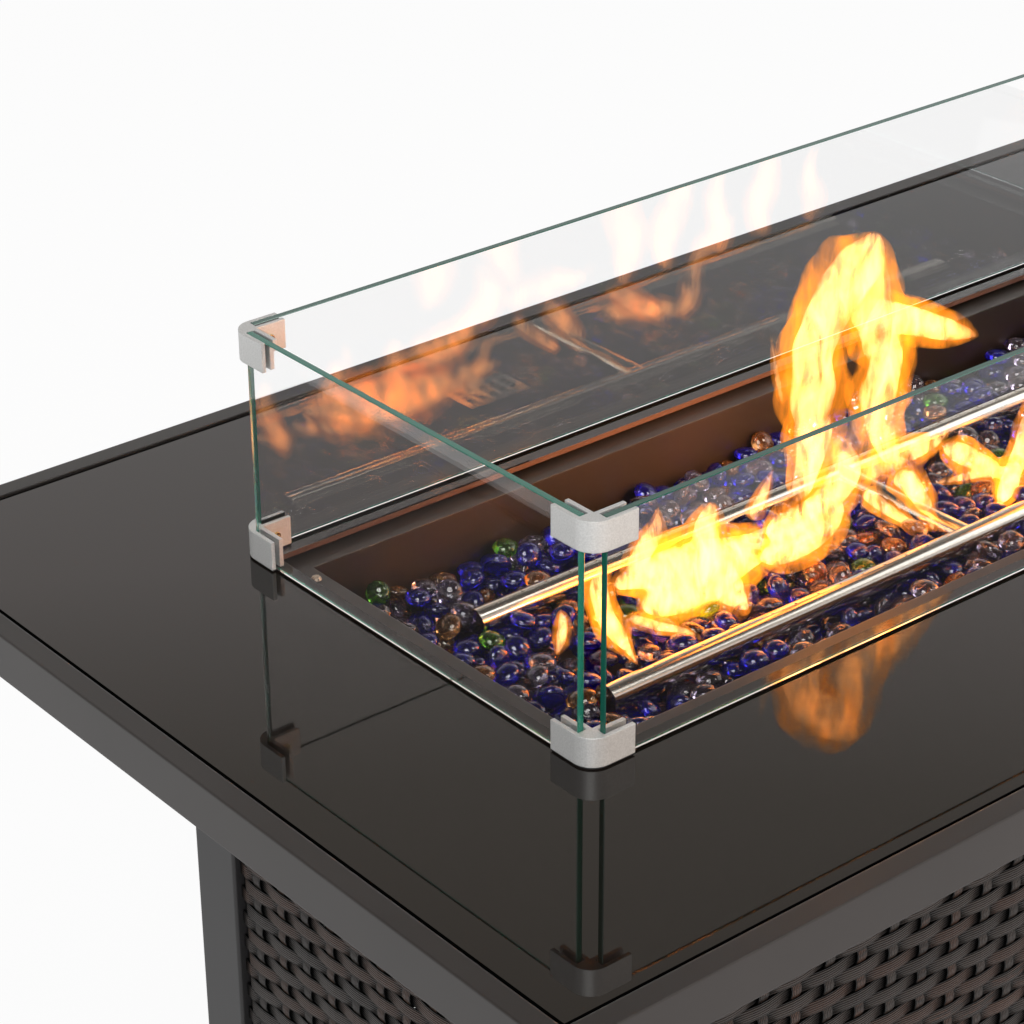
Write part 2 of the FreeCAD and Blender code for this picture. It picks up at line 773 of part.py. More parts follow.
def make_igniter_box():
    low = ("box_x - box_length / 2", "box_y - box_width / 2", "pan_floor")
    outer = box(("box_length", "box_width", "box_height - box_wall - cover_gap"), low)
    inner = box(("box_length - 2 * box_wall", "box_width - 2 * box_wall", "box_height"),
                [low[0] + " + box_wall", low[1] + " + box_wall", "pan_floor + box_wall"])
    subpart(cut(outer, inner), "igniter_box")
    around = "2 * cover_gap"
    lid_low = ("box_x - box_length / 2 - box_wall - cover_gap", "box_y - box_width / 2 - box_wall - cover_gap",
               "pan_floor + box_height - cover_skirt")
    lid = box(("box_length + 2 * box_wall + " + around, "box_width + 2 * box_wall + " + around, "cover_skirt"),
              lid_low)
    room = box(("box_length + " + around, "box_width + " + around, "cover_skirt"),
               ("box_x - box_length / 2 - cover_gap", "box_y - box_width / 2 - cover_gap",
                "pan_floor + box_height - cover_skirt - box_wall"))
    holes = []
    for column in range(-2, 3):
        for side in (-1, 1):
            spot = (f"box_x + cover_pitch * {column}", f"box_y + cover_row_pitch * {side} / 2",
                    "pan_floor + box_height - 3")
            holes.append(rod("cover_hole / 2", "6", spot))
    subpart(cut(lid, room, *holes), "igniter_cover")


def make_electrode_and_probe():
    spot = ("box_x - probe_shift", "box_y", "pan_floor + box_wall")
    ceramic = rod("electrode_radius", "electrode_length", spot)
    tip = rod("spark_wire_radius", "electrode_length + spark_wire_reach", spot)
    shoulder = rod("electrode_radius + ceramic_shoulder", "ceramic_shoulder_height", spot)
    subpart(fuse(ceramic, tip, shoulder), "spark_electrode")
    probe_at = ("box_x + probe_shift", "box_y", "pan_floor + box_wall")
    probe = rod("probe_radius", "probe_length", probe_at)
    collar = rod("probe_radius + probe_collar", "probe_collar_height", probe_at)
    nose_at = (probe_at[0], probe_at[1], "pan_floor + box_wall + probe_length")
    nose = taper("probe_radius", "probe_radius * 0.4", "probe_nose", nose_at)
    subpart(fuse(probe, collar, nose), "thermocouple")


def make_bead_bed():
    """The fire glass as one mass, with room for the pipes and the igniter box."""
    c = "bed_clearance"
    bed = box(("pan_length - 2 * " + c, "pan_width - 2 * " + c, "bed_depth - bed_floor_gap"),
              ("-pan_length / 2 + " + c, "-pan_width / 2 + " + c, "pan_floor + bed_floor_gap"))
    tools = []
    wide = "tube_radius + " + c
    for side in ("-", ""):
        y = side + "burner_spread / 2"
        start = "-burner_length / 2 - " + c
        tools.append(rod(wide, "burner_length + 2 * " + c, (start, y, "burner_axis"), "x"))
    tools.append(rod(wide, "burner_spread", ("0", "-burner_spread / 2", "burner_axis"), "y"))
    tools.append(rod("lock_nut_size / 2", "bed_depth + 2", ("0", "0", "pan_floor")))
    tools.append(box(("box_length + 4 * " + c, "box_width + 4 * " + c, "bed_depth + 2"),
                     ("box_x - box_length / 2 - 2 * " + c, "box_y - box_width / 2 - 2 * " + c, "pan_floor")))
    subpart(cut(bed, *tools), "fire_glass_bed")


# Wind guard

def make_panes():
    length = "guard_length - 2 * clamp_web - 2 * pane_end_gap"
    width = "guard_width - 2 * clamp_web - 2 * pane_end_gap"
    base_z = "guard_under"
    height = "guard_top - guard_under"
    half_x = "guard_length / 2 - pane_thickness / 2"
    half_y = "guard_width / 2 - pane_thickness / 2"
    sides = {
        "guard_pane_front": (length, "pane_thickness", ("0", "-(" + half_y + ")")),
        "guard_pane_back": (length, "pane_thickness", ("0", half_y)),
        "guard_pane_left": ("pane_thickness", width, ("-(" + half_x + ")", "0")),
        "guard_pane_right": ("pane_thickness", width, (half_x, "0")),
    }
    for label, (along, across, spot) in sides.items():
        body, pad = plate_body(label, [(along, across)], height, (spot[0], spot[1], base_z))
        dress(body, pad, "Chamfer", "pane_arris", lambda edge: True)
        subpart(body, label)


def clamp_solid(low):
    """The extruded corner clamp of the front left corner, standing on low."""
    x = "-clamp_x"
    y = "-clamp_y"
    tall = "clamp_height"
    leg_x = box(("clamp_inner_leg", "clamp_depth", tall), (x, y, low))
    leg_y = box(("clamp_depth", "clamp_inner_leg", tall), (x, y, low))
    face_x = box(("clamp_leg", "clamp_wall", tall), (x, y, low))
    face_y = box(("clamp_wall", "clamp_leg", tall), (x, y, low))
    slot_start = "clamp_wall + clamp_web"
    slot_x = box(("clamp_leg", "clamp_slot", tall + " + 2"),
                 (x + " + " + slot_start, y + " + clamp_wall", low + " - 1"))
    slot_y = box(("clamp_slot", "clamp_leg", tall + " + 2"),
                 (x + " + clamp_wall", y + " + " + slot_start, low + " - 1"))
    square = box(("clamp_corner + 1", "clamp_corner + 1", tall + " + 2"),
                 (x + " - 1", y + " - 1", low + " - 1"))
    disc = rod("clamp_corner", tall + " + 4",
               (x + " + clamp_corner", y + " + clamp_corner", low + " - 2"))
    screw = "grub_radius + grub_bore_gap"
    middle = low + " + clamp_height / 2"
    bore_x = rod(screw, "clamp_wall + 2",
                 (x + " + grub_reach", y + " + clamp_wall + clamp_slot - 1", middle), "y")
    bore_y = rod(screw, "clamp_wall + 2",
                 (x + " + clamp_wall + clamp_slot - 1", y + " + grub_reach", middle), "x")
    block = fuse(leg_x, leg_y, face_x, face_y)
    return cut(block, slot_x, slot_y, cut(square, disc), bore_x, bore_y)


def grub_screws(low):
    """The two set screws of one clamp, each with a hexagon socket."""
    middle = low + " + clamp_height / 2"
    pane = "clamp_wall + pane_thickness + guard_lift_gap"
    screws = []
    for axis in ("y", "x"):
        at = {"y": ("-clamp_x + grub_reach", "-clamp_y + " + pane, middle),
              "x": ("-clamp_x + " + pane, "-clamp_y + grub_reach", middle)}[axis]
        body = rod("grub_radius", "grub_length", at, axis)
        mouth = list(at)
        run = "xyz".index(axis)
        mouth[run] = at[run] + " + grub_length - grub_socket_depth"
        screws.append(cut(body, rod("grub_socket", "grub_socket_depth + 1", mouth, axis)))
    return screws


def make_clamps():
    low = {"bottom": "guard_under", "top": "guard_top - clamp_height"}
    screws = []
    for level in ("bottom", "top"):
        subpart(group(*corners(clamp_solid(low[level]))), "guard_clamps_" + level)
        for screw in grub_screws(low[level]):
            screws += corners(screw)
    subpart(group(*screws), "guard_set_screws")


def make_clamp_pads():
    x = "-clamp_x + clamp_pad_inset"
    y = "-clamp_y + clamp_pad_inset"
    low = "glass_top"
    reach = "clamp_leg - 2 * clamp_pad_inset"
    wide = "clamp_depth - 2 * clamp_pad_inset"
    leg_x = box((reach, wide, "clamp_pad"), (x, y, low))
    leg_y = box((wide, reach, "clamp_pad"), (x, y, low))
    square = box(("clamp_corner", "clamp_corner", "clamp_pad + 2"),
                 (x + " - 1", y + " - 1", low + " - 1"))
    disc = rod("clamp_corner - 1", "clamp_pad + 4",
               (x + " + clamp_corner - 1", y + " + clamp_corner - 1", low + " - 2"))
    subpart(group(*corners(cut(fuse(leg_x, leg_y), cut(square, disc)))), "clamp_pads")


# Base

def make_legs():
    height = "leg_top - leg_under"
    inner = "leg_size - 2 * leg_wall"
    half_x = read("base_length") / 2 - read("leg_size")
    half_y = read("base_width") / 2 - read("leg_size")

    def outer_corner(edge):
        spot = edge.Vertexes[0]
        x, y = abs(spot.X), abs(spot.Y)
        reach = read("leg_size") / 2 - 0.5
        if x < half_y / 2:
            return upright(edge) and x > reach and y > reach
        beyond_x = abs(x - half_x - reach - 0.5) > reach
        beyond_y = abs(y - half_y - reach - 0.5) > reach
        return upright(edge) and beyond_x and beyond_y

    bolts = leg_bolt_rods("bolt_radius + bolt_clearance", "leg_top - leg_plate - 1", "leg_plate + 2")
    bores = fuse(*bolts, *panel_bolt_rods("bolt_radius + bolt_clearance", "leg_bore_depth"))
    for label, sx, sy in LEG_CORNERS:
        x, y = sx + "leg_x", sy + "leg_y"
        body, pad = plate_body("tube_" + label, [("leg_size", "leg_size"), (inner, inner)],
                               height, (x, y, "leg_under"))
        dress(body, pad, "Fillet", "leg_radius", outer_corner)
        corner = (x + " - leg_size / 2 + leg_wall", y + " - leg_size / 2 + leg_wall")
        foot_plate = box((inner, inner, "leg_plate"), (*corner, "leg_under"))
        head_plate = box((inner, inner, "leg_plate"), (*corner, "leg_top - leg_plate"))
        stem_bore = rod("stem_radius + stem_gap", "leg_plate + 2", (x, y, "leg_under - 1"))
        subpart(cut(fuse(body, foot_plate, head_plate), stem_bore, bores), "leg_" + label)


LEG_CORNERS = (
    ("front_left", "-", "-"), ("front_right", "", "-"),
    ("back_left", "-", ""), ("back_right", "", ""),
)


def panel_bolt_rods(radius, length, reach="0"):
    """Rods through the stiles of the panel frames into the legs, at two heights."""
    rods = []
    along_y = "frame_outer_y - frame_tube / 2"
    along_x = "frame_outer_x - frame_tube / 2"
    for level in ("panel_bolt_low", "panel_bolt_high"):
        spot = ("-(bay_length / 2 + leg_wall + bolt_tip)", f"-({along_y})", level)
        rods += corners(rod(radius, length + " + " + reach, spot, "x"))
        spot = (f"-({along_x})", "-(bay_width / 2 + leg_wall + bolt_tip)", level)
        rods += both(rod(radius, length + " + " + reach, spot, "y"), "y")
    return rods


def make_frame_bolts():
    """Bolts of the legs and panels; every head bears on the face of the tube it clamps."""
    parts = []
    head = rod("bolt_head", "bolt_head_height", ("-leg_x", "-leg_bolt_y", "support_top"))
    tip = "support_top - support_height - leg_plate - rim_screw_tip"
    shank = rod("bolt_radius", "support_height + leg_plate + rim_screw_tip + 1", ("-leg_x", "-leg_bolt_y", tip))
    parts += corners(fuse(head, shank))
    reach = "leg_wall + bolt_tip + frame_tube"
    along_y = "-(frame_outer_y - frame_tube / 2)"
    along_x = "-(frame_outer_x - frame_tube / 2)"
    for level in ("panel_bolt_low", "panel_bolt_high"):
        start = "-(bay_length / 2 + leg_wall + bolt_tip)"
        body = fuse(rod("bolt_radius", reach + " + 1", (start, along_y, level), "x"),
                    rod("bolt_head", "bolt_head_height", (start + " + " + reach, along_y, level), "x"))
        parts += corners(body)
        start = "-(bay_width / 2 + leg_wall + bolt_tip)"
        body = fuse(rod("bolt_radius", reach + " + 1", (along_x, start, level), "y"),
                    rod("bolt_head", "bolt_head_height", (along_x, start + " + " + reach, level), "y"))
        parts += both(body, "y")
    subpart(group(*parts), "frame_bolts")


def make_feet():
    for label, sx, sy in LEG_CORNERS:
        x, y = sx + "leg_x", sy + "leg_y"
        glide = rod("foot_radius", "foot_height * 0.6", (x, y, "0"))
        crown = taper("foot_radius", "foot_radius * 0.6", "foot_height * 0.4", (x, y, "foot_height * 0.6"))
        stem = rod("stem_radius", "stem_length", (x, y, "foot_height"))
        subpart(fuse(glide, crown, stem), "foot_" + label)


def welded_frame(run, length, face, low_z, high_z):
    """Four tubes of one welded frame; run is x or y and face is where its outer side lies."""
    t = "frame_tube"
    low = f"-({length}) / 2"
    rise = f"{high_z} - ({low_z}) - 2 * {t}"
    parts = []
    for z in (low_z, f"{high_z} - {t}"):
        size, spot = ([length, t, t], [low, face, z]) if run == "x" else ([t, length, t], [face, low, z])
        parts.append(tube(size, "frame_wall", spot, run))
    spot = [low, face, f"{low_z} + {t}"] if run == "x" else [face, low, f"{low_z} + {t}"]
    stile = tube([t, t, rise], "frame_wall", spot, "z")
    parts += both(stile, run)
    return group(*parts)


def make_panels():
    bores = fuse(*panel_bolt_rods("bolt_radius + bolt_clearance", "leg_wall + 2 * bolt_tip", "frame_tube"))
    front = cut(welded_frame("x", "bay_length", "-frame_outer_y", "panel_bottom", "panel_top"), bores)
    subpart(front, "panel_frame_front")
    subpart(mirror(front, "y"), "panel_frame_back")
    left = cut(welded_frame("y", "bay_width", "-frame_outer_x", "panel_bottom", "panel_top"), bores)
    subpart(left, "panel_frame_left")
    tall = "panel_top - panel_bottom"
    behind = "wicker_thickness - wicker_seat"
    front_skin = box(("skin_length", "wicker_thickness", tall),
                     ("-(skin_length) / 2", "-(frame_outer_y) - " + behind, "panel_bottom"))
    left_skin = box(("wicker_thickness", "skin_width", tall),
                    ("-(frame_outer_x) - " + behind, "-(skin_width) / 2", "panel_bottom"))
    subpart(front_skin, "wicker_front")
    subpart(mirror(front_skin, "y"), "wicker_back")
    subpart(left_skin, "wicker_left")


def make_shelf_and_sill():
    """A folded tray between the bottom tubes, with a ring that keeps a gas bottle in place."""
    sill = tube(["frame_tube", "bay_width", "frame_tube"], "frame_wall",
                ["frame_outer_x - frame_tube", "-bay_width / 2", "panel_bottom"], "y")
    subpart(sill, "door_sill")
    half_x = "frame_outer_x - frame_tube"
    half_y = "frame_outer_y - frame_tube"
    corner = (f"-({half_x})", f"-({half_y})", "panel_bottom")
    floor = box((f"2 * ({half_x})", f"2 * ({half_y})", "shelf_wall"), corner)
    lip_x = box((f"2 * ({half_x})", "shelf_wall", "shelf_lip"), corner)
    lip_y = box(("shelf_wall", f"2 * ({half_y})", "shelf_lip"), corner)
    notch = box(("leg_size + 2", "leg_size + 2", "shelf_lip + 4"),
                ("-base_length / 2 - 1", "-base_width / 2 - 1", "panel_bottom - 2"))
    at = ("ring_x", "0", "panel_bottom + shelf_wall / 2")
    ring = cut(rod("ring_radius + ring_wall", "ring_height", at), rod("ring_radius", "ring_height + 2", at))
    tray = fuse(floor, *both(lip_x, "y"), *both(lip_y, "x"), ring)
    subpart(cut(tray, *corners(notch)), "bottle_shelf")


# Right end: control fascia, valve, knob and spark button

def make_fascia():
    """A folded steel front with side returns against the legs and a return at its foot."""
    low_y = "-bay_width / 2"
    back_x = "fascia_face - fascia_return"
    plate = box(("fascia_wall", "bay_width", "fascia_height"),
                ("fascia_face - fascia_wall", low_y, "fascia_under"))
    foot = box(("fascia_return", "bay_width", "fascia_wall"), (back_x, low_y, "fascia_under"))
    side = box(("fascia_return", "fascia_wall", "fascia_height"), (back_x, low_y, "fascia_under"))
    hole_x = "fascia_face - fascia_wall - 1"
    knob_hole = rod("valve_stem_radius + stem_bore_gap", "fascia_wall + 2", (hole_x, "0", "valve_z"), "x")
    button_hole = rod("igniter_radius + button_gap", "fascia_wall + 2", (hole_x, "igniter_y", "valve_z"), "x")
    subpart(cut(fuse(plate, foot, *both(side, "y")), knob_hole, button_hole), "control_panel")


def make_valve():
    half = "valve_size / 2"
    middle = "valve_back - valve_depth / 2"
    block = box(("valve_depth", "valve_size", "valve_drop + " + half),
                ("valve_back - valve_depth", "-" + half, "valve_z - valve_drop"))
    neck = rod("collar_radius + neck_wall", "valve_inset", ("valve_back", "0", "valve_z"), "x")
    socket_x = "valve_back + valve_inset - collar_length - knob_travel - knob_stop_gap"
    socket = rod("collar_radius + stem_clearance", "valve_inset + 1", (socket_x, "0", "valve_z"), "x")
    stem_way = rod("valve_stem_radius + valve_stem_way_gap", "valve_size", (middle, "0", "valve_z"), "x")
    boss = rod("fitting_radius + fitting_flange", "fitting_flange_length", (middle, half, "valve_z"), "y")
    nipple = rod("fitting_radius", "fitting_length + fitting_flange_length", (middle, half, "valve_z"), "y")
    gas_way = rod("fitting_way", "fitting_length + fitting_flange_length + fitting_way_start + 1",
                  (middle, half + " - fitting_way_start", "valve_z"), "y")
    out_way = rod("pipe_radius - pipe_wall", "valve_depth / 2 + 1",
                  ("valve_back - valve_depth - 1", "0", "pipe_z"), "x")
    way_up = rod("valve_way", "valve_z - pipe_z", (middle, "0", "pipe_z"))
    body = cut(fuse(block, neck, boss, nipple), socket, stem_way, gas_way, out_way, way_up)
    subpart(body, "valve_body")
    # The collar slides in the neck with the knob but doesn't turn with it.
    collar_x = "valve_back + valve_inset - collar_length - collar_rest"
    ring = rod("collar_radius", "collar_length", (collar_x, "0", "valve_z"), "x")
    eye = rod("valve_stem_radius + stem_clearance", "collar_length + 2",
              (collar_x + " - 1", "0", "valve_z"), "x")
    subpart(cut(ring, eye), "stem_collar")
    stem_start = "valve_back - stem_seat"
    stem = rod("valve_stem_radius", "knob_face + knob_bore - (" + stem_start + ")",
               (stem_start, "0", "valve_z"), "x")
    subpart(stem, "valve_stem")


def make_knob():
    """A turned knob with a skirt, a grip bar across its face and a blind bore for the stem."""
    x = "knob_face"
    front = x + " + knob_height - 1"
    skirt = taper("knob_skirt", "knob_skirt - knob_skirt_draft", "knob_skirt_height", (x, "0", "valve_z"), "x")
    barrel = taper("knob_radius", "knob_radius - knob_draft", "knob_height - knob_skirt_height - 1",
                   (x + " + knob_skirt_height", "0", "valve_z"), "x")
    nose = taper("knob_radius - knob_draft", "knob_radius - knob_draft - knob_nose_draft", "knob_nose",
                 (front, "0", "valve_z"), "x")
    grip = box(("grip_height", "grip_width", "2 * knob_radius - 2 * grip_end"),
               (front, "-grip_width / 2", "valve_z - knob_radius + grip_end"))
    mark = box(("mark_depth", "mark_width", "mark_length"),
               (front + " + grip_height - mark_depth + 1", "-mark_width / 2",
                "valve_z + knob_radius - mark_end - mark_length"))
    bore = rod("valve_stem_radius", "knob_bore", (x, "0", "valve_z"), "x")
    subpart(cut(fuse(skirt, barrel, nose, grip), mark, bore), "control_knob")


def make_spark_button():
    inner = "button_radius + button_gap"
    back = "fascia_face - igniter_length"
    body = rod("igniter_radius", "igniter_length", (back, "igniter_y", "valve_z"), "x")
    flange = rod("igniter_flange", "igniter_flange_height", ("fascia_face", "igniter_y", "valve_z"), "x")
    cap_x = "fascia_face + igniter_flange_height + button_travel - button_height"
    well_x = cap_x + " - button_travel - button_stop_gap"
    well = rod(inner, "button_height + 3", (well_x, "igniter_y", "valve_z"), "x")
    nut_x = "fascia_face - fascia_wall - igniter_nut"
    nut = rod("igniter_flange", "igniter_nut", (nut_x, "igniter_y", "valve_z"), "x")
    subpart(cut(fuse(body, flange, nut), well), "igniter_housing")
    subpart(rod("button_radius", "button_height", (cap_x, "igniter_y", "valve_z"), "x"), "igniter_button")


# Door

def make_door():
    half = "door_width / 2"
    low_x = "frame_outer_x - frame_tube"
    subpart(welded_frame("y", "door_width", low_x, "door_bottom", "door_top"), "door_frame")
    skin = box(("wicker_thickness", "door_width", "door_top - door_bottom"),
               ("frame_outer_x + wicker_seat", "-" + half, "door_bottom"))
    subpart(skin, "door_wicker")
    face = "frame_outer_x + wicker_seat + wicker_thickness"
    y = "-" + half + " + handle_inset"
    middle = "door_top - handle_drop"
    grip = rod("handle_radius", "handle_length", (face + " + handle_reach", y, middle + " - handle_length / 2"))
    posts = []
    for side in (-1, 1):
        z = f"{middle} + {side} * (handle_length / 2 - handle_post_inset)"
        posts.append(rod("handle_radius * 0.8", "handle_reach", (face, y, z), "x"))
        posts.append(rod("handle_radius * 1.6", "handle_rose", (face, y, z), "x"))
    subpart(fuse(grip, *posts), "door_handle")
    make_hinges()
    catch = box(("catch_depth", "catch_width", "catch_height"),
                (low_x + " - catch_gap - catch_depth", "-bay_width / 2", middle + " - catch_height / 2"))
    subpart(catch, "magnet_catch")


def make_hinges():
    """Lift-off hinges: a knuckle and leaf on the leg, and a pin and leaf on the door."""
    fixed, moving = [], []
    face = "base_length / 2"
    half = "hinge_height / 2"
    for z in ("door_bottom + hinge_inset", "door_top - hinge_inset - hinge_height"):
        knuckle = rod("hinge_radius", half + " - knuckle_gap", ("hinge_x", "hinge_y", z))
        leaf = box(("hinge_plate", "hinge_leg_leaf", half + " - knuckle_gap"), (face, "hinge_y", z))
        web = box(("hinge_offset", "hinge_radius", half + " - knuckle_gap"), (face, "hinge_y", z))
        bore = rod("hinge_pin_radius + hinge_pin_gap", half + " + 2", ("hinge_x", "hinge_y", z + " - 1"))
        fixed.append(cut(fuse(knuckle, leaf, web), bore))
        upper = z + " + " + half
        knob = rod("hinge_radius", half, ("hinge_x", "hinge_y", upper))
        pin = rod("hinge_pin_radius", "hinge_height", ("hinge_x", "hinge_y", z))
        skin = "base_length / 2 - wicker_recess"
        door_web = box(("hinge_x - (" + skin + ")", "hinge_radius", half),
                       (skin, "hinge_y - hinge_radius", upper))
        door_leaf = box(("hinge_plate", "hinge_leaf", half), (skin, "hinge_y - hinge_leaf", upper))
        moving.append(fuse(knob, pin, door_web, door_leaf))
    subpart(group(*fixed), "hinge_knuckles")
    subpart(group(*moving), "hinge_pins")


def check_and_export():
    doc.recompute()
    for item in doc.Objects:
        if "Invalid" in item.State or "Error" in item.State:
            raise RuntimeError(f"{item.Label} ({item.Name}) is {item.State}")
    os.makedirs("parts", exist_ok=True)
    for item in SUBPARTS:
        shape = item.Shape
        if shape.isNull() or not shape.isValid() or not shape.Solids:
            raise RuntimeError(f"{item.Label} has no valid solid")
        shape.exportStep(f"parts/{item.Label}.step")
        bounds = shape.BoundBox
        print(f"{item.Label:22s} solids {len(shape.Solids):2d} volume {shape.Volume:12.1f} "
              f"x {bounds.XMin:8.2f} {bounds.XMax:8.2f} y {bounds.YMin:8.2f} {bounds.YMax:8.2f} "
              f"z {bounds.ZMin:8.2f} {bounds.ZMax:8.2f}")
    print(len(SUBPARTS), "sub-parts")


make_rim()
make_corner_brackets()
make_support_rails()
make_glass_top()
make_glass_pads()
make_pan()
make_pan_screws()
make_burner()
make_burner_fittings()
make_igniter_box()
make_electrode_and_probe()
make_bead_bed()
make_panes()
make_clamps()
make_clamp_pads()
make_legs()
make_feet()
make_frame_bolts()
make_panels()
make_shelf_and_sill()
make_fascia()
make_valve()
make_knob()
make_spark_button()
make_door()
check_and_export()
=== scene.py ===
import json
import math
import random

import bmesh
import bpy
from mathutils import Matrix, Vector, noise as turbulence
from mathutils.kdtree import KDTree


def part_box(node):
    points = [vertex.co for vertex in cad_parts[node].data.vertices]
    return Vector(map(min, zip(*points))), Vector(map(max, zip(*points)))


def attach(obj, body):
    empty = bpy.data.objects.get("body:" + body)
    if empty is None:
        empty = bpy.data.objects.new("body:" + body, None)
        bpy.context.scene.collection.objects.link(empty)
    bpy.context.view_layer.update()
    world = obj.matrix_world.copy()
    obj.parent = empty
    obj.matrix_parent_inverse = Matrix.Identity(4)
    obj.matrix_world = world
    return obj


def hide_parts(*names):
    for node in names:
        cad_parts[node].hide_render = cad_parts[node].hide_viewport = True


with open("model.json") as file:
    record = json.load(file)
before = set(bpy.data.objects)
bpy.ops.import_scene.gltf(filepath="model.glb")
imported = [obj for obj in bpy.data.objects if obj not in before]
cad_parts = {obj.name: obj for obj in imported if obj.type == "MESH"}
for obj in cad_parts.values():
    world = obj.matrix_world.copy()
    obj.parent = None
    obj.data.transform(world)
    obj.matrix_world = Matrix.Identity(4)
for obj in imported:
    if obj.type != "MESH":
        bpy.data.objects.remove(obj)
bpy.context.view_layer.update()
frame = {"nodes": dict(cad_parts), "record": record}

MM = 0.001

# The view of the photograph, solved from the edges of the table and the guard.
CAMERA_PLACE = Vector((-1.46164, -1.33108, 1.61061))
CAMERA_YAW, CAMERA_PITCH, CAMERA_ROLL = -0.6851, -0.4853, -0.0064
CAMERA_LENS, CAMERA_SENSOR = 103.956, 36.0
CAMERA_NEAR, CAMERA_FAR = 0.05, 60.0

# Woven panels: the weft strips run level, the warp strips upright.
WEFT_PITCH, WEFT_WIDTH = 11.16 * MM, 11.2 * MM
WARP_PITCH, WARP_WIDTH = 30.0 * MM, 8.6 * MM
WEAVE_SWING, STRAND_THICKNESS = 1.65 * MM, 1.2 * MM
WARP_SWING_SHARE = 0.95
STRAND_CROWN = 0.22 * MM    # how far the middle of a strip stands out
RIBS_PER_STRIP = 6.0
EDGE_TURN_IN, EDGE_DROP = 5.0 * MM, 2.6 * MM    # the strips bend back round the frame
CALM_ROWS = 2.2    # the rows at the panel's edge swing less
WEFT_DRIFT, WEFT_WAVES = 0.25, 9.0    # mm off the straight line, and how fast it wanders
WARP_LEAN, WARP_WAVES = 0.5, 7.0
WEAVE_OFFSET = 1.3 * MM    # from the middle of the CAD panel outwards
WEAVE_SEED = 5

GAP_SHADE_WIDTH = 0.0022    # painted shade of the rim gap, black along the tabletop glass's outer edge

# Fire glass
BEAD_RADIUS, BEAD_FLATNESS = 10.8 * MM, 0.54
BEAD_COUNT = 1650
BEAD_SEED = 11
START_SPREAD_X, START_SPREAD_Y, START_HEAP = 0.97, 0.93, 4 * MM
SETTLE_STEPS, SLOW_FROM_STEP = 45, 38
FALL, SLOW_FALL = 0.35 * MM, 0.1 * MM    # per step, before the beads are flattened
TOUCH_SHARE, PUSH_SHARE = 0.93, 0.42    # of two radii, and of the overlap that each bead moves
SAME_PLACE = 1e-7
SIDE_CLEARANCE, UNDER_CLEARANCE = 0.9, 1.15    # in bead radii and half heights
PIPE_LEVEL, PIPE_OFFSET, PIPE_RADIUS = 583.5 * MM, 67 * MM, 9.5 * MM    # the burner's two long pipes
CROSS_PIPE_PASS = 566 * MM    # a bead whose middle lies lower fits under the cross pipe
BANK_START, BANK_WIDTH, BANK_HEIGHT = 45 * MM, 40 * MM, 9 * MM    # beads heaped up at the back
LEVEL_BEADS, LEAN_SPREAD, STEEP_LEANS = 0.8, 0.4, (0.6, 1.4)    # share, and leans in radians
BEAD_SIZES, BEAD_ROUNDNESS = (0.88, 1.04), (0.92, 1.0)

# The studio
WHITE = (1.0, 1.0, 1.0)
FLOOR_SIZE = 15.0
FLOOR_GREY = (0.85, 0.85, 0.85)
BACKDROP_SHARE = 0.93    # how much of the floor's look is plain white
STUDIO_LIGHT = 0.58
SOFT_BOXES = [    # direction from the table, cosine of the half angle
    ((-0.38, -0.30, 0.87), 0.968),
    ((0.42, -0.40, 0.82), 0.988),
]
SOFT_BOX_BLUR, SOFT_BOX_LIGHT = 0.007, (11.0, 10.8, 10.5)
STUDIO_WALL = [    # what mirrors see of the studio: upward part of the direction, colour
    (0.36, WHITE), (0.48, (0.97, 0.90, 0.87)), (0.545, (0.62, 0.57, 0.51)),
    (0.62, (0.52, 0.47, 0.41)), (0.78, (0.12, 0.11, 0.10)),
]
FIRE_COLOUR, FIRE_LAMP_RADIUS = (1.0, 0.42, 0.14), 0.05
FIRE_LAMPS = [    # name, place, watts
    ("fire_glow_tall", (-0.07, 0.0, 0.70), 4.0),
    ("fire_glow_low", (-0.21, 0.0, 0.64), 0.6),
]

# Flames
FLAME_GRAIN, FLAME_STRETCH, FLAME_TWIST = 78.0, (1.0, 1.0, 0.3), 1.1
HOT_BELOW, COOL_ABOVE, COOL_SHARE = 0.64, 0.71, 0.55    # heights in metres, and the glow left up there
FLAME_FILTER = (1.0, 0.72, 0.25)
TONGUE_SIDES, FEWEST_STEPS, STEPS_PER_PLACE = 14, 10, 5
TONGUE_DEPTH = 0.8    # share of the width
THINNEST = 0.3    # mm
TIP_SHARE, TIP_GROWTH = 0.15, 0.5    # width at a tongue's ends, and what each step inwards adds
RIPPLE, RIPPLE_ROUND, RIPPLE_UP = 0.55, 1.6, 0.04    # share of the radius, fineness round and up the tongue
RIPPLE_SHIFT = 7.1    # from one tongue's ripple to the next one's
LEVEL_VIEW = Vector((0.63, 0.77, 0.0))    # about where the camera looks, made level
SKIN_GRID, SKIN_SMOOTHING = 2.0 * MM, 5

# An enlargement of the photograph in which flames were picked: its left and top edge in
# pixels of the photograph, and how many of its own pixels make one of the photograph's.
ZOOM_LEFT, ZOOM_TOP, ZOOM_SCALE = 560, 180, 3.379
PHOTO_SIZE = 1024
FLAME_FLOOR = 588 * MM    # no picked place lies lower
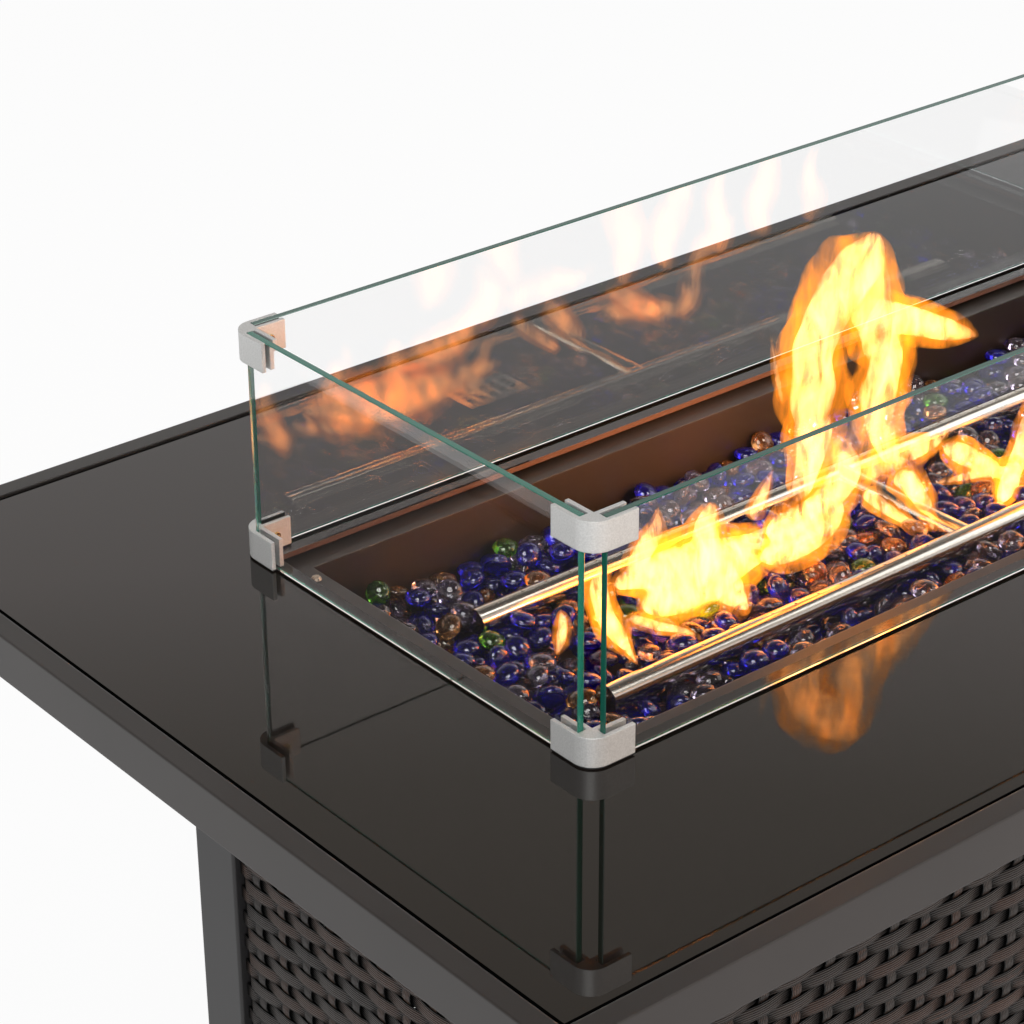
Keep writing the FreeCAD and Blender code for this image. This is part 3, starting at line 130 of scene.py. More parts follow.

# Tongues seen in the enlargement: the depth y of each in mm, then its middle and its half width in the
# enlargement's pixels at a few places along it, as picked. tall_right, wing, middle_rise, low_left and
# low_drop are estimated from such picks and from changes made later for the look of the render.
PICKED_TONGUES = {
    "tall_left": (-33, [
        (790, 1090, 40), (838, 920, 88), (852, 720, 98), (868, 530, 108), (955, 380, 112),
        (1040, 255, 92), (1075, 172, 22)]),
    "tall_right": (-33, [
        (1114, 960, 27), (1079, 862, 67), (1072, 755, 88), (1097, 610, 102), (1065, 460, 96),
        (1058, 330, 82), (1075, 235, 40)]),
    "wing": (-33, [
        (985, 472, 44), (1080, 454, 87), (1175, 468, 95), (1260, 492, 71), (1335, 512, 46),
        (1425, 528, 5)]),
    "left_wisp": (-30, [(752, 760, 14), (738, 680, 20), (712, 540, 9), (700, 488, 4)]),
    "middle_rise": (-22, [
        (920, 850, 20), (945, 910, 57), (955, 980, 72), (860, 1110, 72), (780, 1160, 77),
        (690, 1190, 58)]),
    "middle_right": (-20, [
        (985, 1000, 48), (1135, 925, 58), (1205, 900, 46), (1275, 868, 24), (1312, 806, 4)]),
    "middle_low": (-20, [
        (1140, 985, 62), (1185, 1040, 52), (1220, 1100, 42), (1245, 1150, 26), (1258, 1188, 8)]),
    "middle_lick": (-20, [(1020, 1050, 36), (1080, 1095, 34), (1150, 1140, 28), (1238, 1184, 8)]),
    "right_sheet": (-10, [(1290, 890, 34), (1360, 925, 56), (1430, 950, 40), (1475, 955, 12)]),
    "right_lick": (-15, [(1262, 1022, 8), (1350, 1002, 24), (1440, 985, 28), (1530, 985, 44)]),
    "edge_flame": (-10, [
        (1470, 1090, 18), (1510, 1030, 58), (1540, 940, 50), (1590, 780, 40), (1640, 700, 50),
        (1700, 640, 30), (1740, 560, 6)]),
    "low_tip": (0, [(215, 1345, 30), (300, 1215, 50), (322, 1150, 26), (324, 1092, 4)]),
    "low_block": (0, [(480, 1290, 80), (492, 1150, 54), (505, 1080, 20)]),
    "low_body": (0, [
        (170, 1370, 26), (260, 1335, 70), (380, 1315, 112), (520, 1285, 118), (640, 1240, 78),
        (815, 1160, 26), (850, 1130, 6)]),
    "low_front": (-8, [(540, 1350, 92), (590, 1395, 66), (630, 1452, 8)]),
    "low_centre": (-8, [(270, 1425, 46), (350, 1410, 84), (450, 1400, 78), (540, 1400, 40)]),
    "low_left": (-15, [
        (150, 1290, 10), (128, 1375, 46), (150, 1475, 56), (192, 1530, 50), (230, 1590, 24),
        (262, 1640, 4)]),
    "low_drop": (-20, [(10, 1440, 6), (18, 1495, 28), (12, 1560, 30), (-8, 1610, 5)]),
    "low_streak": (-15, [(220, 1470, 26), (320, 1500, 32), (420, 1520, 20), (500, 1560, 4)]),
    "back_wisp": (20, [(640, 1150, 34), (690, 1030, 22), (715, 965, 4)]),
    "centre_lick": (-25, [(985, 880, 30), (985, 780, 10), (995, 742, 2)]),
    "low_back": (5, [(700, 1290, 14), (720, 1240, 34), (745, 1180, 28)]),
}

# Given in mm: a glow behind the front pane, and the flames beyond the photograph's edge that
# only the back pane mirrors. Places along each tongue and its radius.
PLACED_TONGUES = {
    "middle_glow": [
        (-176, -30, 612, 6), (-158, -30, 612, 15), (-136, -30, 613, 17), (-112, -30, 620, 15),
        (-98, -30, 634, 9)],
    "far_a": [
        (95, -67, 594, 8), (102, -66, 630, 15), (98, -64, 672, 16), (112, -62, 712, 9),
        (120, -62, 742, 1)],
    "far_b": [
        (150, -68, 594, 9), (146, -68, 622, 17), (158, -66, 655, 15), (176, -66, 684, 7),
        (190, -66, 700, 1)],
    "far_c": [(205, -66, 594, 7), (212, -66, 616, 13), (206, -68, 648, 11), (214, -70, 682, 1)],
    "far_d": [
        (262, -67, 594, 9), (256, -67, 624, 16), (266, -66, 662, 13), (258, -64, 698, 6),
        (268, -63, 716, 1)],
    "far_e": [(318, -66, 594, 7), (326, -66, 618, 12), (318, -66, 648, 8), (328, -64, 672, 1)],
}


# Small tools for finishes

def finish_tree(name):
    """A new material with its node tree and its surface shader."""
    material = bpy.data.materials.new(name)
    material.use_nodes = True
    tree = material.node_tree
    return material, tree, tree.nodes["Principled BSDF"]


def add_node(tree, kind, sockets=None, **settings):
    made = tree.nodes.new(kind)
    for key, value in settings.items():
        setattr(made, key, value)
    for key, value in (sockets or {}).items():
        made.inputs[key].default_value = value
    return made


def wire(tree, source, output, target, socket):
    tree.links.new(source.outputs[output], target.inputs[socket])


def set_sockets(shader, **values):
    names = {
        "colour": "Base Color", "metallic": "Metallic", "roughness": "Roughness", "ior": "IOR",
        "specular": "Specular IOR Level", "transmission": "Transmission Weight",
    }
    for key, value in values.items():
        if isinstance(value, tuple):
            value = (*value, 1.0)
        shader.inputs[names[key]].default_value = value


def calculate(tree, operation, source, output, *numbers):
    """A math node on one value, with plain numbers as its other inputs."""
    made = add_node(tree, "ShaderNodeMath", dict(enumerate(numbers, 1)), operation=operation)
    wire(tree, source, output, made, 0)
    return made


def combine(tree, operation, first, first_output, second, second_output):
    """A math node on two values."""
    made = add_node(tree, "ShaderNodeMath", operation=operation)
    wire(tree, first, first_output, made, 0)
    wire(tree, second, second_output, made, 1)
    return made


def object_place(tree, stretch=(1.0, 1.0, 1.0)):
    """Object coordinates, stretched along the axes."""
    source = add_node(tree, "ShaderNodeTexCoord")
    mapping = add_node(tree, "ShaderNodeMapping", {"Scale": stretch})
    wire(tree, source, "Object", mapping, "Vector")
    return mapping


def split_place(tree):
    """Object coordinates as three values, X, Y and Z in metres."""
    split = add_node(tree, "ShaderNodeSeparateXYZ")
    wire(tree, object_place(tree), "Vector", split, "Vector")
    return split


def noise(tree, scale, detail=4.0, rough=0.5, stretch=(1.0, 1.0, 1.0)):
    grain = add_node(tree, "ShaderNodeTexNoise", {"Scale": scale, "Detail": detail, "Roughness": rough})
    wire(tree, object_place(tree, stretch), "Vector", grain, "Vector")
    return grain


def shaded(colour, share):
    return tuple(c * share for c in colour)


def ramp(tree, source, output, stops):
    """A colour ramp on a value; stops are (position, colour)."""
    made = add_node(tree, "ShaderNodeValToRGB")
    while len(made.color_ramp.elements) < len(stops):
        made.color_ramp.elements.new(0.5)
    for element, (position, colour) in zip(made.color_ramp.elements, stops):
        element.position = position
        element.color = (*colour, 1.0) if isinstance(colour, tuple) else (colour, colour, colour, 1.0)
    wire(tree, source, output, made, "Fac")
    return made


def bump(tree, shader, source, output, height, strength=1.0, edge=0.0):
    """Relief of a given height in metres, on edges rounded by the given radius."""
    relief = add_node(tree, "ShaderNodeBump", {"Strength": strength, "Distance": height})
    wire(tree, source, output, relief, "Height")
    if edge:
        rounding = add_node(tree, "ShaderNodeBevel", {"Radius": edge}, samples=4)
        wire(tree, rounding, "Normal", relief, "Normal")
    wire(tree, relief, "Normal", shader, "Normal")


def normal_part(tree, axis):
    """How far the surface faces along an axis, from 0 to 1, in the object's own directions."""
    facing = add_node(tree, "ShaderNodeTexCoord")
    split = add_node(tree, "ShaderNodeSeparateXYZ")
    wire(tree, facing, "Normal", split, "Vector")
    return calculate(tree, "ABSOLUTE", split, axis)


def step_above(tree, source, output, edge):
    return calculate(tree, "GREATER_THAN", source, output, edge)


def mix_colours(tree, factor, output, low, high):
    mixed = add_node(tree, "ShaderNodeMix", data_type="RGBA")
    mixed.inputs["A"].default_value = (*low, 1.0)
    mixed.inputs["B"].default_value = (*high, 1.0)
    wire(tree, factor, output, mixed, "Factor")
    return mixed


def paint_over(tree, ground, output, mask, paint):
    """The ground's colour, and the paint where the mask is 1."""
    mixed = mix_colours(tree, mask, "Value", paint, paint)
    wire(tree, ground, output, mixed, "A")
    return mixed


# Finishes

def powder_coat(name, colour, roughness, edge=0.0008):
    """Sprayed paint: a fine orange peel and a slight change of tone."""
    material, tree, shader = finish_tree(name)
    set_sockets(shader, roughness=roughness, specular=0.36)
    tone = noise(tree, scale=9.0, detail=3.0)
    shade = ramp(tree, tone, "Fac", [(0.3, shaded(colour, 0.9)), (0.7, shaded(colour, 1.1))])
    wire(tree, shade, "Color", shader, "Base Color")
    peel = noise(tree, scale=1400.0, detail=2.0)
    bump(tree, shader, peel, "Fac", height=0.00003, strength=0.5, edge=edge)
    return material


def brushed_metal(name, colour, roughness, stretch=(1.0, 1.0, 1.0), scale=600.0, height=0.00002):
    """Metal with a fine grain; a small stretch along an axis draws the grain out into lines along it."""
    material, tree, shader = finish_tree(name)
    set_sockets(shader, metallic=1.0)
    lines = noise(tree, scale, detail=5.0, rough=0.6, stretch=stretch)
    tone = ramp(tree, lines, "Fac", [(0.25, shaded(colour, 0.88)), (0.75, colour)])
    wire(tree, tone, "Color", shader, "Base Color")
    polish = ramp(tree, lines, "Fac", [(0.3, roughness * 0.8), (0.7, roughness * 1.25)])
    wire(tree, polish, "Color", shader, "Roughness")
    bump(tree, shader, lines, "Fac", height=height, strength=0.4, edge=0.0006)
    return material


def blasted_metal(name, colour):
    """Glass-blasted and clear anodised aluminium: half matt, with a fine grain."""
    material, tree, shader = finish_tree(name)
    set_sockets(shader, metallic=0.35, roughness=0.42)
    grain = noise(tree, scale=900.0, detail=4.0, rough=0.65)
    tone = ramp(tree, grain, "Fac", [(0.3, shaded(colour, 0.84)), (0.7, shaded(colour, 1.1))])
    wire(tree, tone, "Color", shader, "Base Color")
    bump(tree, shader, grain, "Fac", height=0.00006, strength=0.6, edge=0.0009)
    return material


def moulded(name, colour, roughness, grain=900.0, height=0.00004):
    """Moulded plastic, rubber or ceramic with a fine grain."""
    material, tree, shader = finish_tree(name)
    set_sockets(shader, roughness=roughness)
    tone = noise(tree, scale=25.0, detail=3.0)
    shade = ramp(tree, tone, "Fac", [(0.3, shaded(colour, 0.85)), (0.7, shaded(colour, 1.2))])
    wire(tree, shade, "Color", shader, "Base Color")
    peel = noise(tree, scale=grain, detail=2.0)
    bump(tree, shader, peel, "Fac", height=height, strength=0.5, edge=0.0006)
    return material


def tabletop_finish():
    """Dark enamelled glass: a mirror face, brownish cut edges and a band of painted shade at the outer edge.
    """
    material, tree, shader = finish_tree("dark_glass_top")
    set_sockets(shader, ior=1.42)
    brown_edge, dark_face, gap_shade_black = (0.085, 0.05, 0.038), (0.0075, 0.0055, 0.0045), (0.001, 0.001, 0.001)
    up = step_above(tree, normal_part(tree, "Z"), "Value", 0.6)
    body = mix_colours(tree, up, "Value", brown_edge, dark_face)
    low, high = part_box("tabletop_glass")
    split = split_place(tree)
    # Painted shade: a black band without reflection along the outer edge, for the dark gap to the rim.
    bands = []
    for number, axis in enumerate("XY"):
        middle = (low[number] + high[number]) / 2
        out = calculate(tree, "SUBTRACT", split, axis, middle)
        size = calculate(tree, "ABSOLUTE", out, "Value")
        bands.append(step_above(tree, size, "Value", high[number] - middle - GAP_SHADE_WIDTH))
    gap_shade = combine(tree, "MAXIMUM", bands[0], "Value", bands[1], "Value")
    shown = paint_over(tree, body, "Result", gap_shade, gap_shade_black)
    wire(tree, shown, "Result", shader, "Base Color")
    shine = add_node(tree, "ShaderNodeMath", {0: 0.5}, operation="SUBTRACT", use_clamp=True)
    wire(tree, gap_shade, "Value", shine, 1)
    wire(tree, shine, "Value", shader, "Specular IOR Level")
    haze = noise(tree, scale=3.0, detail=5.0, rough=0.6)
    polish = ramp(tree, haze, "Fac", [(0.35, 0.004), (0.8, 0.012)])
    wire(tree, polish, "Color", shader, "Roughness")
    return material


def pane_finish(name, axis, edge_colour, edge_clearness, middle):
    """Clear glass; its cut edges are green, but for the lower ones, which mirror the light in the pane."""
    material, tree, shader = finish_tree(name)
    set_sockets(shader, colour=WHITE, roughness=0.0, ior=1.42, transmission=1.0)
    edge = add_node(tree, "ShaderNodeBsdfPrincipled")
    set_sockets(edge, colour=edge_colour, roughness=0.15, ior=1.5, transmission=edge_clearness)
    face = step_above(tree, normal_part(tree, axis), "Value", 0.9)
    level = step_above(tree, normal_part(tree, "Z"), "Value", 0.9)
    below = calculate(tree, "LESS_THAN", split_place(tree), "Z", middle)
    lower_edge = combine(tree, "MULTIPLY", level, "Value", below, "Value")
    clear = combine(tree, "MAXIMUM", face, "Value", lower_edge, "Value")
    mixer = add_node(tree, "ShaderNodeMixShader")
    wire(tree, clear, "Value", mixer, 0)
    wire(tree, edge, "BSDF", mixer, 1)
    wire(tree, shader, "BSDF", mixer, 2)
    wire(tree, mixer, "Shader", tree.nodes["Material Output"], "Surface")
    return material


def pan_finish():
    """Heat resistant black paint, slightly browned in patches."""
    material, tree, shader = finish_tree("pan_black")
    set_sockets(shader, roughness=0.38)
    tone = noise(tree, scale=7.0, detail=4.0)
    shade = ramp(tree, tone, "Fac", [(0.3, (0.014, 0.012, 0.010)), (0.75, (0.024, 0.018, 0.015))])
    wire(tree, shade, "Color", shader, "Base Color")
    peel = noise(tree, scale=700.0, detail=2.0)
    bump(tree, shader, peel, "Fac", height=0.00003, strength=0.5, edge=0.0015)
    return material


def bead_finish(name, colour, clear):
    """Tumbled coloured glass; clear is how much of a bead is see-through and not milky."""
    material, tree, shader = finish_tree(name)
    set_sockets(shader, roughness=0.02, ior=1.5, transmission=clear)
    tone = noise(tree, scale=60.0, detail=2.0)
    shade = ramp(tree, tone, "Fac", [(0.3, shaded(colour, 0.7)), (0.7, colour)])
    wire(tree, shade, "Color", shader, "Base Color")
    return material


def wicker_finish():
    """Extruded resin strips: ribs along each, a tone of its own for each strand, and painted shade."""
    material, tree, shader = finish_tree("wicker_resin")
    set_sockets(shader, roughness=0.42, specular=0.3)
    strand = add_node(tree, "ShaderNodeAttribute", attribute_name="tone")
    across = add_node(tree, "ShaderNodeAttribute", attribute_name="across")
    lift = add_node(tree, "ShaderNodeAttribute", attribute_name="lift")
    streaks = noise(tree, scale=55.0, detail=4.0, rough=0.6, stretch=(1.0, 1.0, 6.0))
    blend = calculate(tree, "MULTIPLY_ADD", streaks, "Fac", 0.3, 0.35)
    total = calculate(tree, "MULTIPLY_ADD", strand, "Fac", 0.5)
    wire(tree, blend, "Value", total, 2)
    shade = ramp(tree, total, "Value", [
        (0.42, (0.048, 0.028, 0.0205)), (0.70, (0.088, 0.050, 0.036)),
        (0.76, (0.029, 0.0225, 0.0195)), (0.98, (0.056, 0.0445, 0.039))])
    # Painted shade: the grooves between the ribs, the parts of a strip that dip under another,
    # and its long edges are darkened.
    ribs = calculate(tree, "MULTIPLY", across, "Fac", RIBS_PER_STRIP * 2.0 * math.pi)
    wave = calculate(tree, "SINE", ribs, "Value")
    groove = calculate(tree, "MULTIPLY_ADD", wave, "Value", 0.5, 0.5)
    rib_line = ramp(tree, groove, "Value", [(0.05, 0.85), (0.45, 0.0)])
    level = calculate(tree, "MULTIPLY_ADD", lift, "Fac", 0.5, 0.5)
    sunk = ramp(tree, level, "Value", [(0.12, 1.0), (0.52, 0.0)])
    shadow = combine(tree, "MAXIMUM", rib_line, "Color", sunk, "Color")
    centred = calculate(tree, "MULTIPLY_ADD", across, "Fac", 2.0, -1.0)
    side = calculate(tree, "ABSOLUTE", centred, "Value")
    rim = calculate(tree, "POWER", side, "Value", 9.0)
    hollow = combine(tree, "MAXIMUM", shadow, "Value", rim, "Value")
    # A near black painted shade over the grooves, the dips and the long edges.
    painted_shade = paint_over(tree, shade, "Color", hollow, (0.002, 0.002, 0.002))
    wire(tree, painted_shade, "Result", shader, "Base Color")
    bump(tree, shader, wave, "Value", height=0.0009)
    return material


# The finish of each material slot in the record. Panes and fire glass have finishes of their own below.
FINISHES = {
    "rim_paint": lambda: powder_coat("rim_bronze", (0.0200, 0.0168, 0.0156), 0.36, edge=0.0018),
    "frame_paint": lambda: powder_coat("frame_grey", (0.018, 0.0172, 0.0178), 0.42),
    "zinc_steel": lambda: brushed_metal("zinc_plate", (0.62, 0.62, 0.60), 0.4),
    "pan_screw_steel": lambda: brushed_metal("blackened_screw", (0.42, 0.35, 0.28), 0.3),
    "dark_glass": tabletop_finish,
    "clear_bumper": lambda: moulded("clear_bumper", (0.6, 0.6, 0.6), 0.3),
    "pan_paint": pan_finish,
    "burner_steel": lambda: brushed_metal(
        "polished_stainless", (0.58, 0.55, 0.50), 0.15,
        stretch=(0.02, 1.0, 1.0), scale=500.0, height=0.0000015),
    "brass": lambda: brushed_metal("turned_brass", (0.75, 0.52, 0.22), 0.25),
    "air_mixer_aluminium": lambda: brushed_metal(
        "cast_aluminium", (0.66, 0.66, 0.66), 0.45, scale=300.0, height=0.00005),
    "electrode_ceramic": lambda: moulded("white_ceramic", (0.75, 0.73, 0.68), 0.25),
    "satin_aluminium": lambda: blasted_metal("blasted_aluminium", (0.54, 0.54, 0.53)),
    "black_rubber": lambda: moulded("black_rubber", (0.012, 0.012, 0.012), 0.7),
    "black_plastic": lambda: moulded("black_plastic", (0.018, 0.018, 0.018), 0.5),
    "knob_plastic": lambda: moulded("knob_plastic", (0.018, 0.018, 0.018), 0.3, grain=500.0, height=0.00002),
    "stem_steel": lambda: brushed_metal("satin_steel", (0.62, 0.61, 0.60), 0.28),
    "wicker_resin": wicker_finish,
}


def dress_cad_nodes():
    """Gives each CAD node but the bead bed the finish of its slot; panes differ by the way they face."""
    made = {name: build() for name, build in FINISHES.items()}
    low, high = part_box("guard_pane_left")
    middle = (low[2] + high[2]) / 2
    # Painted light and shade: the same glass has darker, less see-through edges on the front and back panes
    # and lighter, clearer ones on the end panes.
    across_y = pane_finish("clear_pane_across_y", "Y", (0.007, 0.085, 0.06), 0.15, middle)
    across_x = pane_finish("clear_pane_across_x", "X", (0.03, 0.34, 0.24), 0.6, middle)
    slots = {s["node"]: s["material_slot"] for s in frame["record"]["subparts"]}
    for name, item in frame["nodes"].items():
        finish = made.get(slots[name])
        if slots[name] == "clear_glass":
            finish = across_y if name.endswith(("front", "back")) else across_x
        if finish is not None:
            item.data.materials.clear()
            item.data.materials.append(finish)
    return made


def mesh_of(name, bm, finish):
    """Turns a bmesh into a mesh with one finish."""
    mesh = bpy.data.meshes.new(name)
    bm.to_mesh(mesh)
    bm.free()
    mesh.materials.append(finish)
    return mesh


def stand(name, data):
    """Puts data into the scene as an object."""
    item = bpy.data.objects.new(name, data)
    bpy.context.scene.collection.objects.link(item)
    return item


def new_piece(name, bm, finish, body, replaced):
    """Makes a smooth object of a bmesh, hides the CAD nodes that it replaces and ties it to its CAD body."""
    for face in bm.faces:
        face.smooth = True
    item = stand(name, mesh_of(name, bm, finish))
    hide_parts(*replaced)
    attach(item, body)


# Woven panels

def add_strand(bm, layers, length, width, segments, tone, shape):
    """One flat strip; shape turns a place along it and one across it, in metres, into x, y and z."""
    across, strand, lift = layers
    made = bmesh.ops.create_grid(bm, x_segments=segments, y_segments=3, size=0.5)["verts"]
    for vert in made:
        u, v = vert.co.x * length, vert.co.y
        place = shape(u, v * width)
        vert[across] = v + 0.5
        vert[strand] = tone
        vert[lift] = place[2] / WEAVE_SWING
        crown = STRAND_CROWN * (1.0 - (2.0 * v) ** 2)
        vert.co = Vector((place[0], place[1], place[2] + crown))
    faces = list({face for vert in made for face in vert.link_faces})
    bmesh.ops.solidify(bm, geom=faces + made, thickness=STRAND_THICKNESS)


def edge_drop(place, half):
    """How far a strip lies back near the panel's edge, where it bends round the frame."""
    past = max(0.0, abs(place) - (half - EDGE_TURN_IN)) / EDGE_TURN_IN
    return -EDGE_DROP * past * past


def weave_panel(width, height, rng):
    """A plain weave in its own plane: x along the rows, y up, z out; its centre is the origin."""
    bm = bmesh.new()
    layers = tuple(bm.verts.layers.float.new(name) for name in ("across", "tone", "lift"))
    rows = int(height / WEFT_PITCH)
    columns = int(width / WARP_PITCH)
    first_row = -(rows - 1) / 2 * WEFT_PITCH
    first_column = -(columns - 1) / 2 * WARP_PITCH

    for row in range(rows):
        level = first_row + row * WEFT_PITCH
        drift = rng.uniform(-WEFT_DRIFT, WEFT_DRIFT) * MM
        calm = min(1.0, (height / 2 - abs(level)) / (CALM_ROWS * WEFT_PITCH))

        def weft(u, v, row=row, level=level, drift=drift, calm=calm):
            swing = calm * math.cos(math.pi * ((u - first_column) / WARP_PITCH + row))
            sag = drift * math.sin(u * WEFT_WAVES + row)
            return u, level + v + sag, WEAVE_SWING * swing + edge_drop(u, width / 2)
        add_strand(bm, layers, width, WEFT_WIDTH, columns * 4, rng.random(), weft)

    for column in range(columns):
        spot = first_column + column * WARP_PITCH
        lean = rng.uniform(-WARP_LEAN, WARP_LEAN) * MM

        def warp(w, v, column=column, spot=spot, lean=lean):
            swing = math.cos(math.pi * ((w - first_row) / WEFT_PITCH + column + 1))
            out = WARP_SWING_SHARE * WEAVE_SWING * swing + edge_drop(w, height / 2)
            return spot - v + lean * math.sin(w * WARP_WAVES), w, out
        add_strand(bm, layers, rows * WEFT_PITCH, WARP_WIDTH, rows * 3, rng.random(), warp)
    bmesh.ops.recalc_face_normals(bm, faces=bm.faces)
    return bm


def quarter_turns(count, axis):
    return Matrix.Rotation(math.radians(90 * count), 4, axis)


def make_wicker(finish):
    rng = random.Random(WEAVE_SEED)
    upright = quarter_turns(1, "X")
    facing = {
        "wicker_front": ("table", upright),
        "wicker_back": ("table", quarter_turns(2, "Z") @ upright),
        "wicker_left": ("table", quarter_turns(-1, "Z") @ upright),
        "door_wicker": ("door", quarter_turns(1, "Z") @ upright),
    }
    for node, (body, turn) in facing.items():
        low, high = (Vector(c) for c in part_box(node))
        middle, size = (low + high) / 2, high - low
        outward = turn.to_3x3() @ Vector((0, 0, 1))
        bm = weave_panel(max(size.x, size.y), size.z, rng)
        place = Matrix.Translation(middle + outward * WEAVE_OFFSET) @ turn
        bmesh.ops.transform(bm, matrix=place, verts=bm.verts)
        new_piece(node + "_weave", bm, finish, body, (node,))


# Fire glass

def push_apart(beads, reach):
    """Moves beads that are nearer than the reach away from each other."""
    tree = KDTree(len(beads))
    for index, place in enumerate(beads):
        tree.insert(place, index)
    tree.balance()
    moved = [Vector() for _ in beads]
    for index, place in enumerate(beads):
        for other, other_index, gap in tree.find_range(place, reach):
            if other_index <= index:
                continue
            push = (place - other).normalized() if gap > SAME_PLACE else Vector((0, 0, 1))
            push *= (reach - gap) * PUSH_SHARE
            moved[index] += push
            moved[other_index] -= push
    for place, move in zip(beads, moved):
        place += move


def clear_of_pipes(place, height, pipe_end):
    """Moves a bead out of the burner's pipes and gives its new height."""
    if abs(place.x) < pipe_end + BEAD_RADIUS:
        side = PIPE_OFFSET if place.y > 0 else -PIPE_OFFSET
        away = Vector((place.y - side, height - PIPE_LEVEL))
        clear = PIPE_RADIUS + BEAD_RADIUS * BEAD_FLATNESS * UNDER_CLEARANCE
        if away.length < clear:
            away = away.normalized() * clear
            place.y, height = side + away.x, PIPE_LEVEL + min(away.y, 0.0)
    at_cross_pipe = abs(place.x) < PIPE_RADIUS + BEAD_RADIUS and abs(place.y) < PIPE_OFFSET
    if at_cross_pipe and height > CROSS_PIPE_PASS:
        place.x = math.copysign(PIPE_RADIUS + BEAD_RADIUS * SIDE_CLEARANCE, place.x)
    return height


def clear_of_box(place, box_low, box_high):
    """Moves a bead out of the box through the nearest side."""
    margin = BEAD_RADIUS * SIDE_CLEARANCE
    low_x, high_x = box_low.x - margin, box_high.x + margin
    low_y, high_y = box_low.y - margin, box_high.y + margin
    if low_x < place.x < high_x and low_y < place.y < high_y:
        sides = [(place.x - low_x, "x", low_x), (high_x - place.x, "x", high_x),
                 (place.y - low_y, "y", low_y), (high_y - place.y, "y", high_y)]
        _, axis, side = min(sides)
        setattr(place, axis, side)


def settle_beads(count, rng):
    """Drops flattened beads into the pan and lets them push each other apart."""
    low, high = (Vector(c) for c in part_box("fire_glass_bed"))
    box_low, box_high = (Vector(c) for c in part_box("igniter_box"))
    pipe_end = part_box("burner")[1][0]
    floor = low.z + BEAD_RADIUS * BEAD_FLATNESS
    beads = []
    for _ in range(count):
        x = rng.uniform(low.x, high.x) * START_SPREAD_X
        y = rng.uniform(low.y, high.y) * START_SPREAD_Y
        z = rng.uniform(floor, high.z + START_HEAP) / BEAD_FLATNESS
        beads.append(Vector((x, y, z)))
    for step in range(SETTLE_STEPS):
        push_apart(beads, 2 * BEAD_RADIUS * TOUCH_SHARE)
        for place in beads:
            place.z -= FALL if step < SLOW_FROM_STEP else SLOW_FALL
            place.x = min(max(place.x, low.x + BEAD_RADIUS), high.x - BEAD_RADIUS)
            place.y = min(max(place.y, low.y + BEAD_RADIUS), high.y - BEAD_RADIUS)
            height = clear_of_pipes(place, max(place.z * BEAD_FLATNESS, floor), pipe_end)
            clear_of_box(place, box_low, box_high)
            place.z = height / BEAD_FLATNESS
    settled = []
    for place in beads:
        bank = min(1.0, max(0.0, (place.y - BANK_START) / BANK_WIDTH))
        heap = BANK_HEIGHT * bank * bank * (3 - 2 * bank)
        settled.append(Vector((place.x, place.y, place.z * BEAD_FLATNESS + heap)))
    return settled


def bead_shape():
    """A round bead of radius 1."""
    shape = bmesh.new()
    bmesh.ops.create_uvsphere(shape, u_segments=12, v_segments=6, radius=1.0)
    drop = bpy.data.meshes.new("bead_shape")
    shape.to_mesh(drop)
    shape.free()
    return drop


def bead_place(place, rng):
    """Size, lean and place of one bead as a matrix."""
    lean = rng.gauss(0, LEAN_SPREAD) if rng.random() < LEVEL_BEADS else rng.uniform(*STEEP_LEANS)
    turn = Matrix.Rotation(rng.uniform(0, math.tau), 4, "Z") @ Matrix.Rotation(lean, 4, "X")
    width = BEAD_RADIUS * rng.uniform(*BEAD_SIZES)
    size = Matrix.Diagonal((width, width * rng.uniform(*BEAD_ROUNDNESS), width * BEAD_FLATNESS, 1.0))
    spin = Matrix.Rotation(rng.uniform(0, math.tau), 4, "Z")
    return Matrix.Translation(place) @ turn @ spin @ size


def make_beads():
    rng = random.Random(BEAD_SEED)
    colours = {    # share of all beads, finish
        "cobalt_beads": (0.57, bead_finish("cobalt_glass", (0.016, 0.013, 0.42), 0.86)),
        "clear_beads": (0.30, bead_finish("clear_violet_glass", (0.30, 0.255, 0.36), 0.94)),
        "green_beads": (0.07, bead_finish("green_glass", (0.07, 0.22, 0.02), 0.85)),
        "amber_beads": (0.06, bead_finish("amber_glass", (0.42, 0.20, 0.07), 0.90)),
    }
    meshes = {name: bmesh.new() for name in colours}
    drop = bead_shape()
    for place in settle_beads(BEAD_COUNT, rng):
        pick = rng.random()
        for name, (share, _) in colours.items():
            pick -= share
            if pick < 0:
                break
        bead = drop.copy()
        bead.transform(bead_place(place, rng))
        meshes[name].from_mesh(bead)
        bpy.data.meshes.remove(bead)
    bpy.data.meshes.remove(drop)
    for name, (_, finish) in colours.items():
        new_piece(name, meshes[name], finish, "table", ("fire_glass_bed",))


# Flames: they stand in the picture but are no part of the table

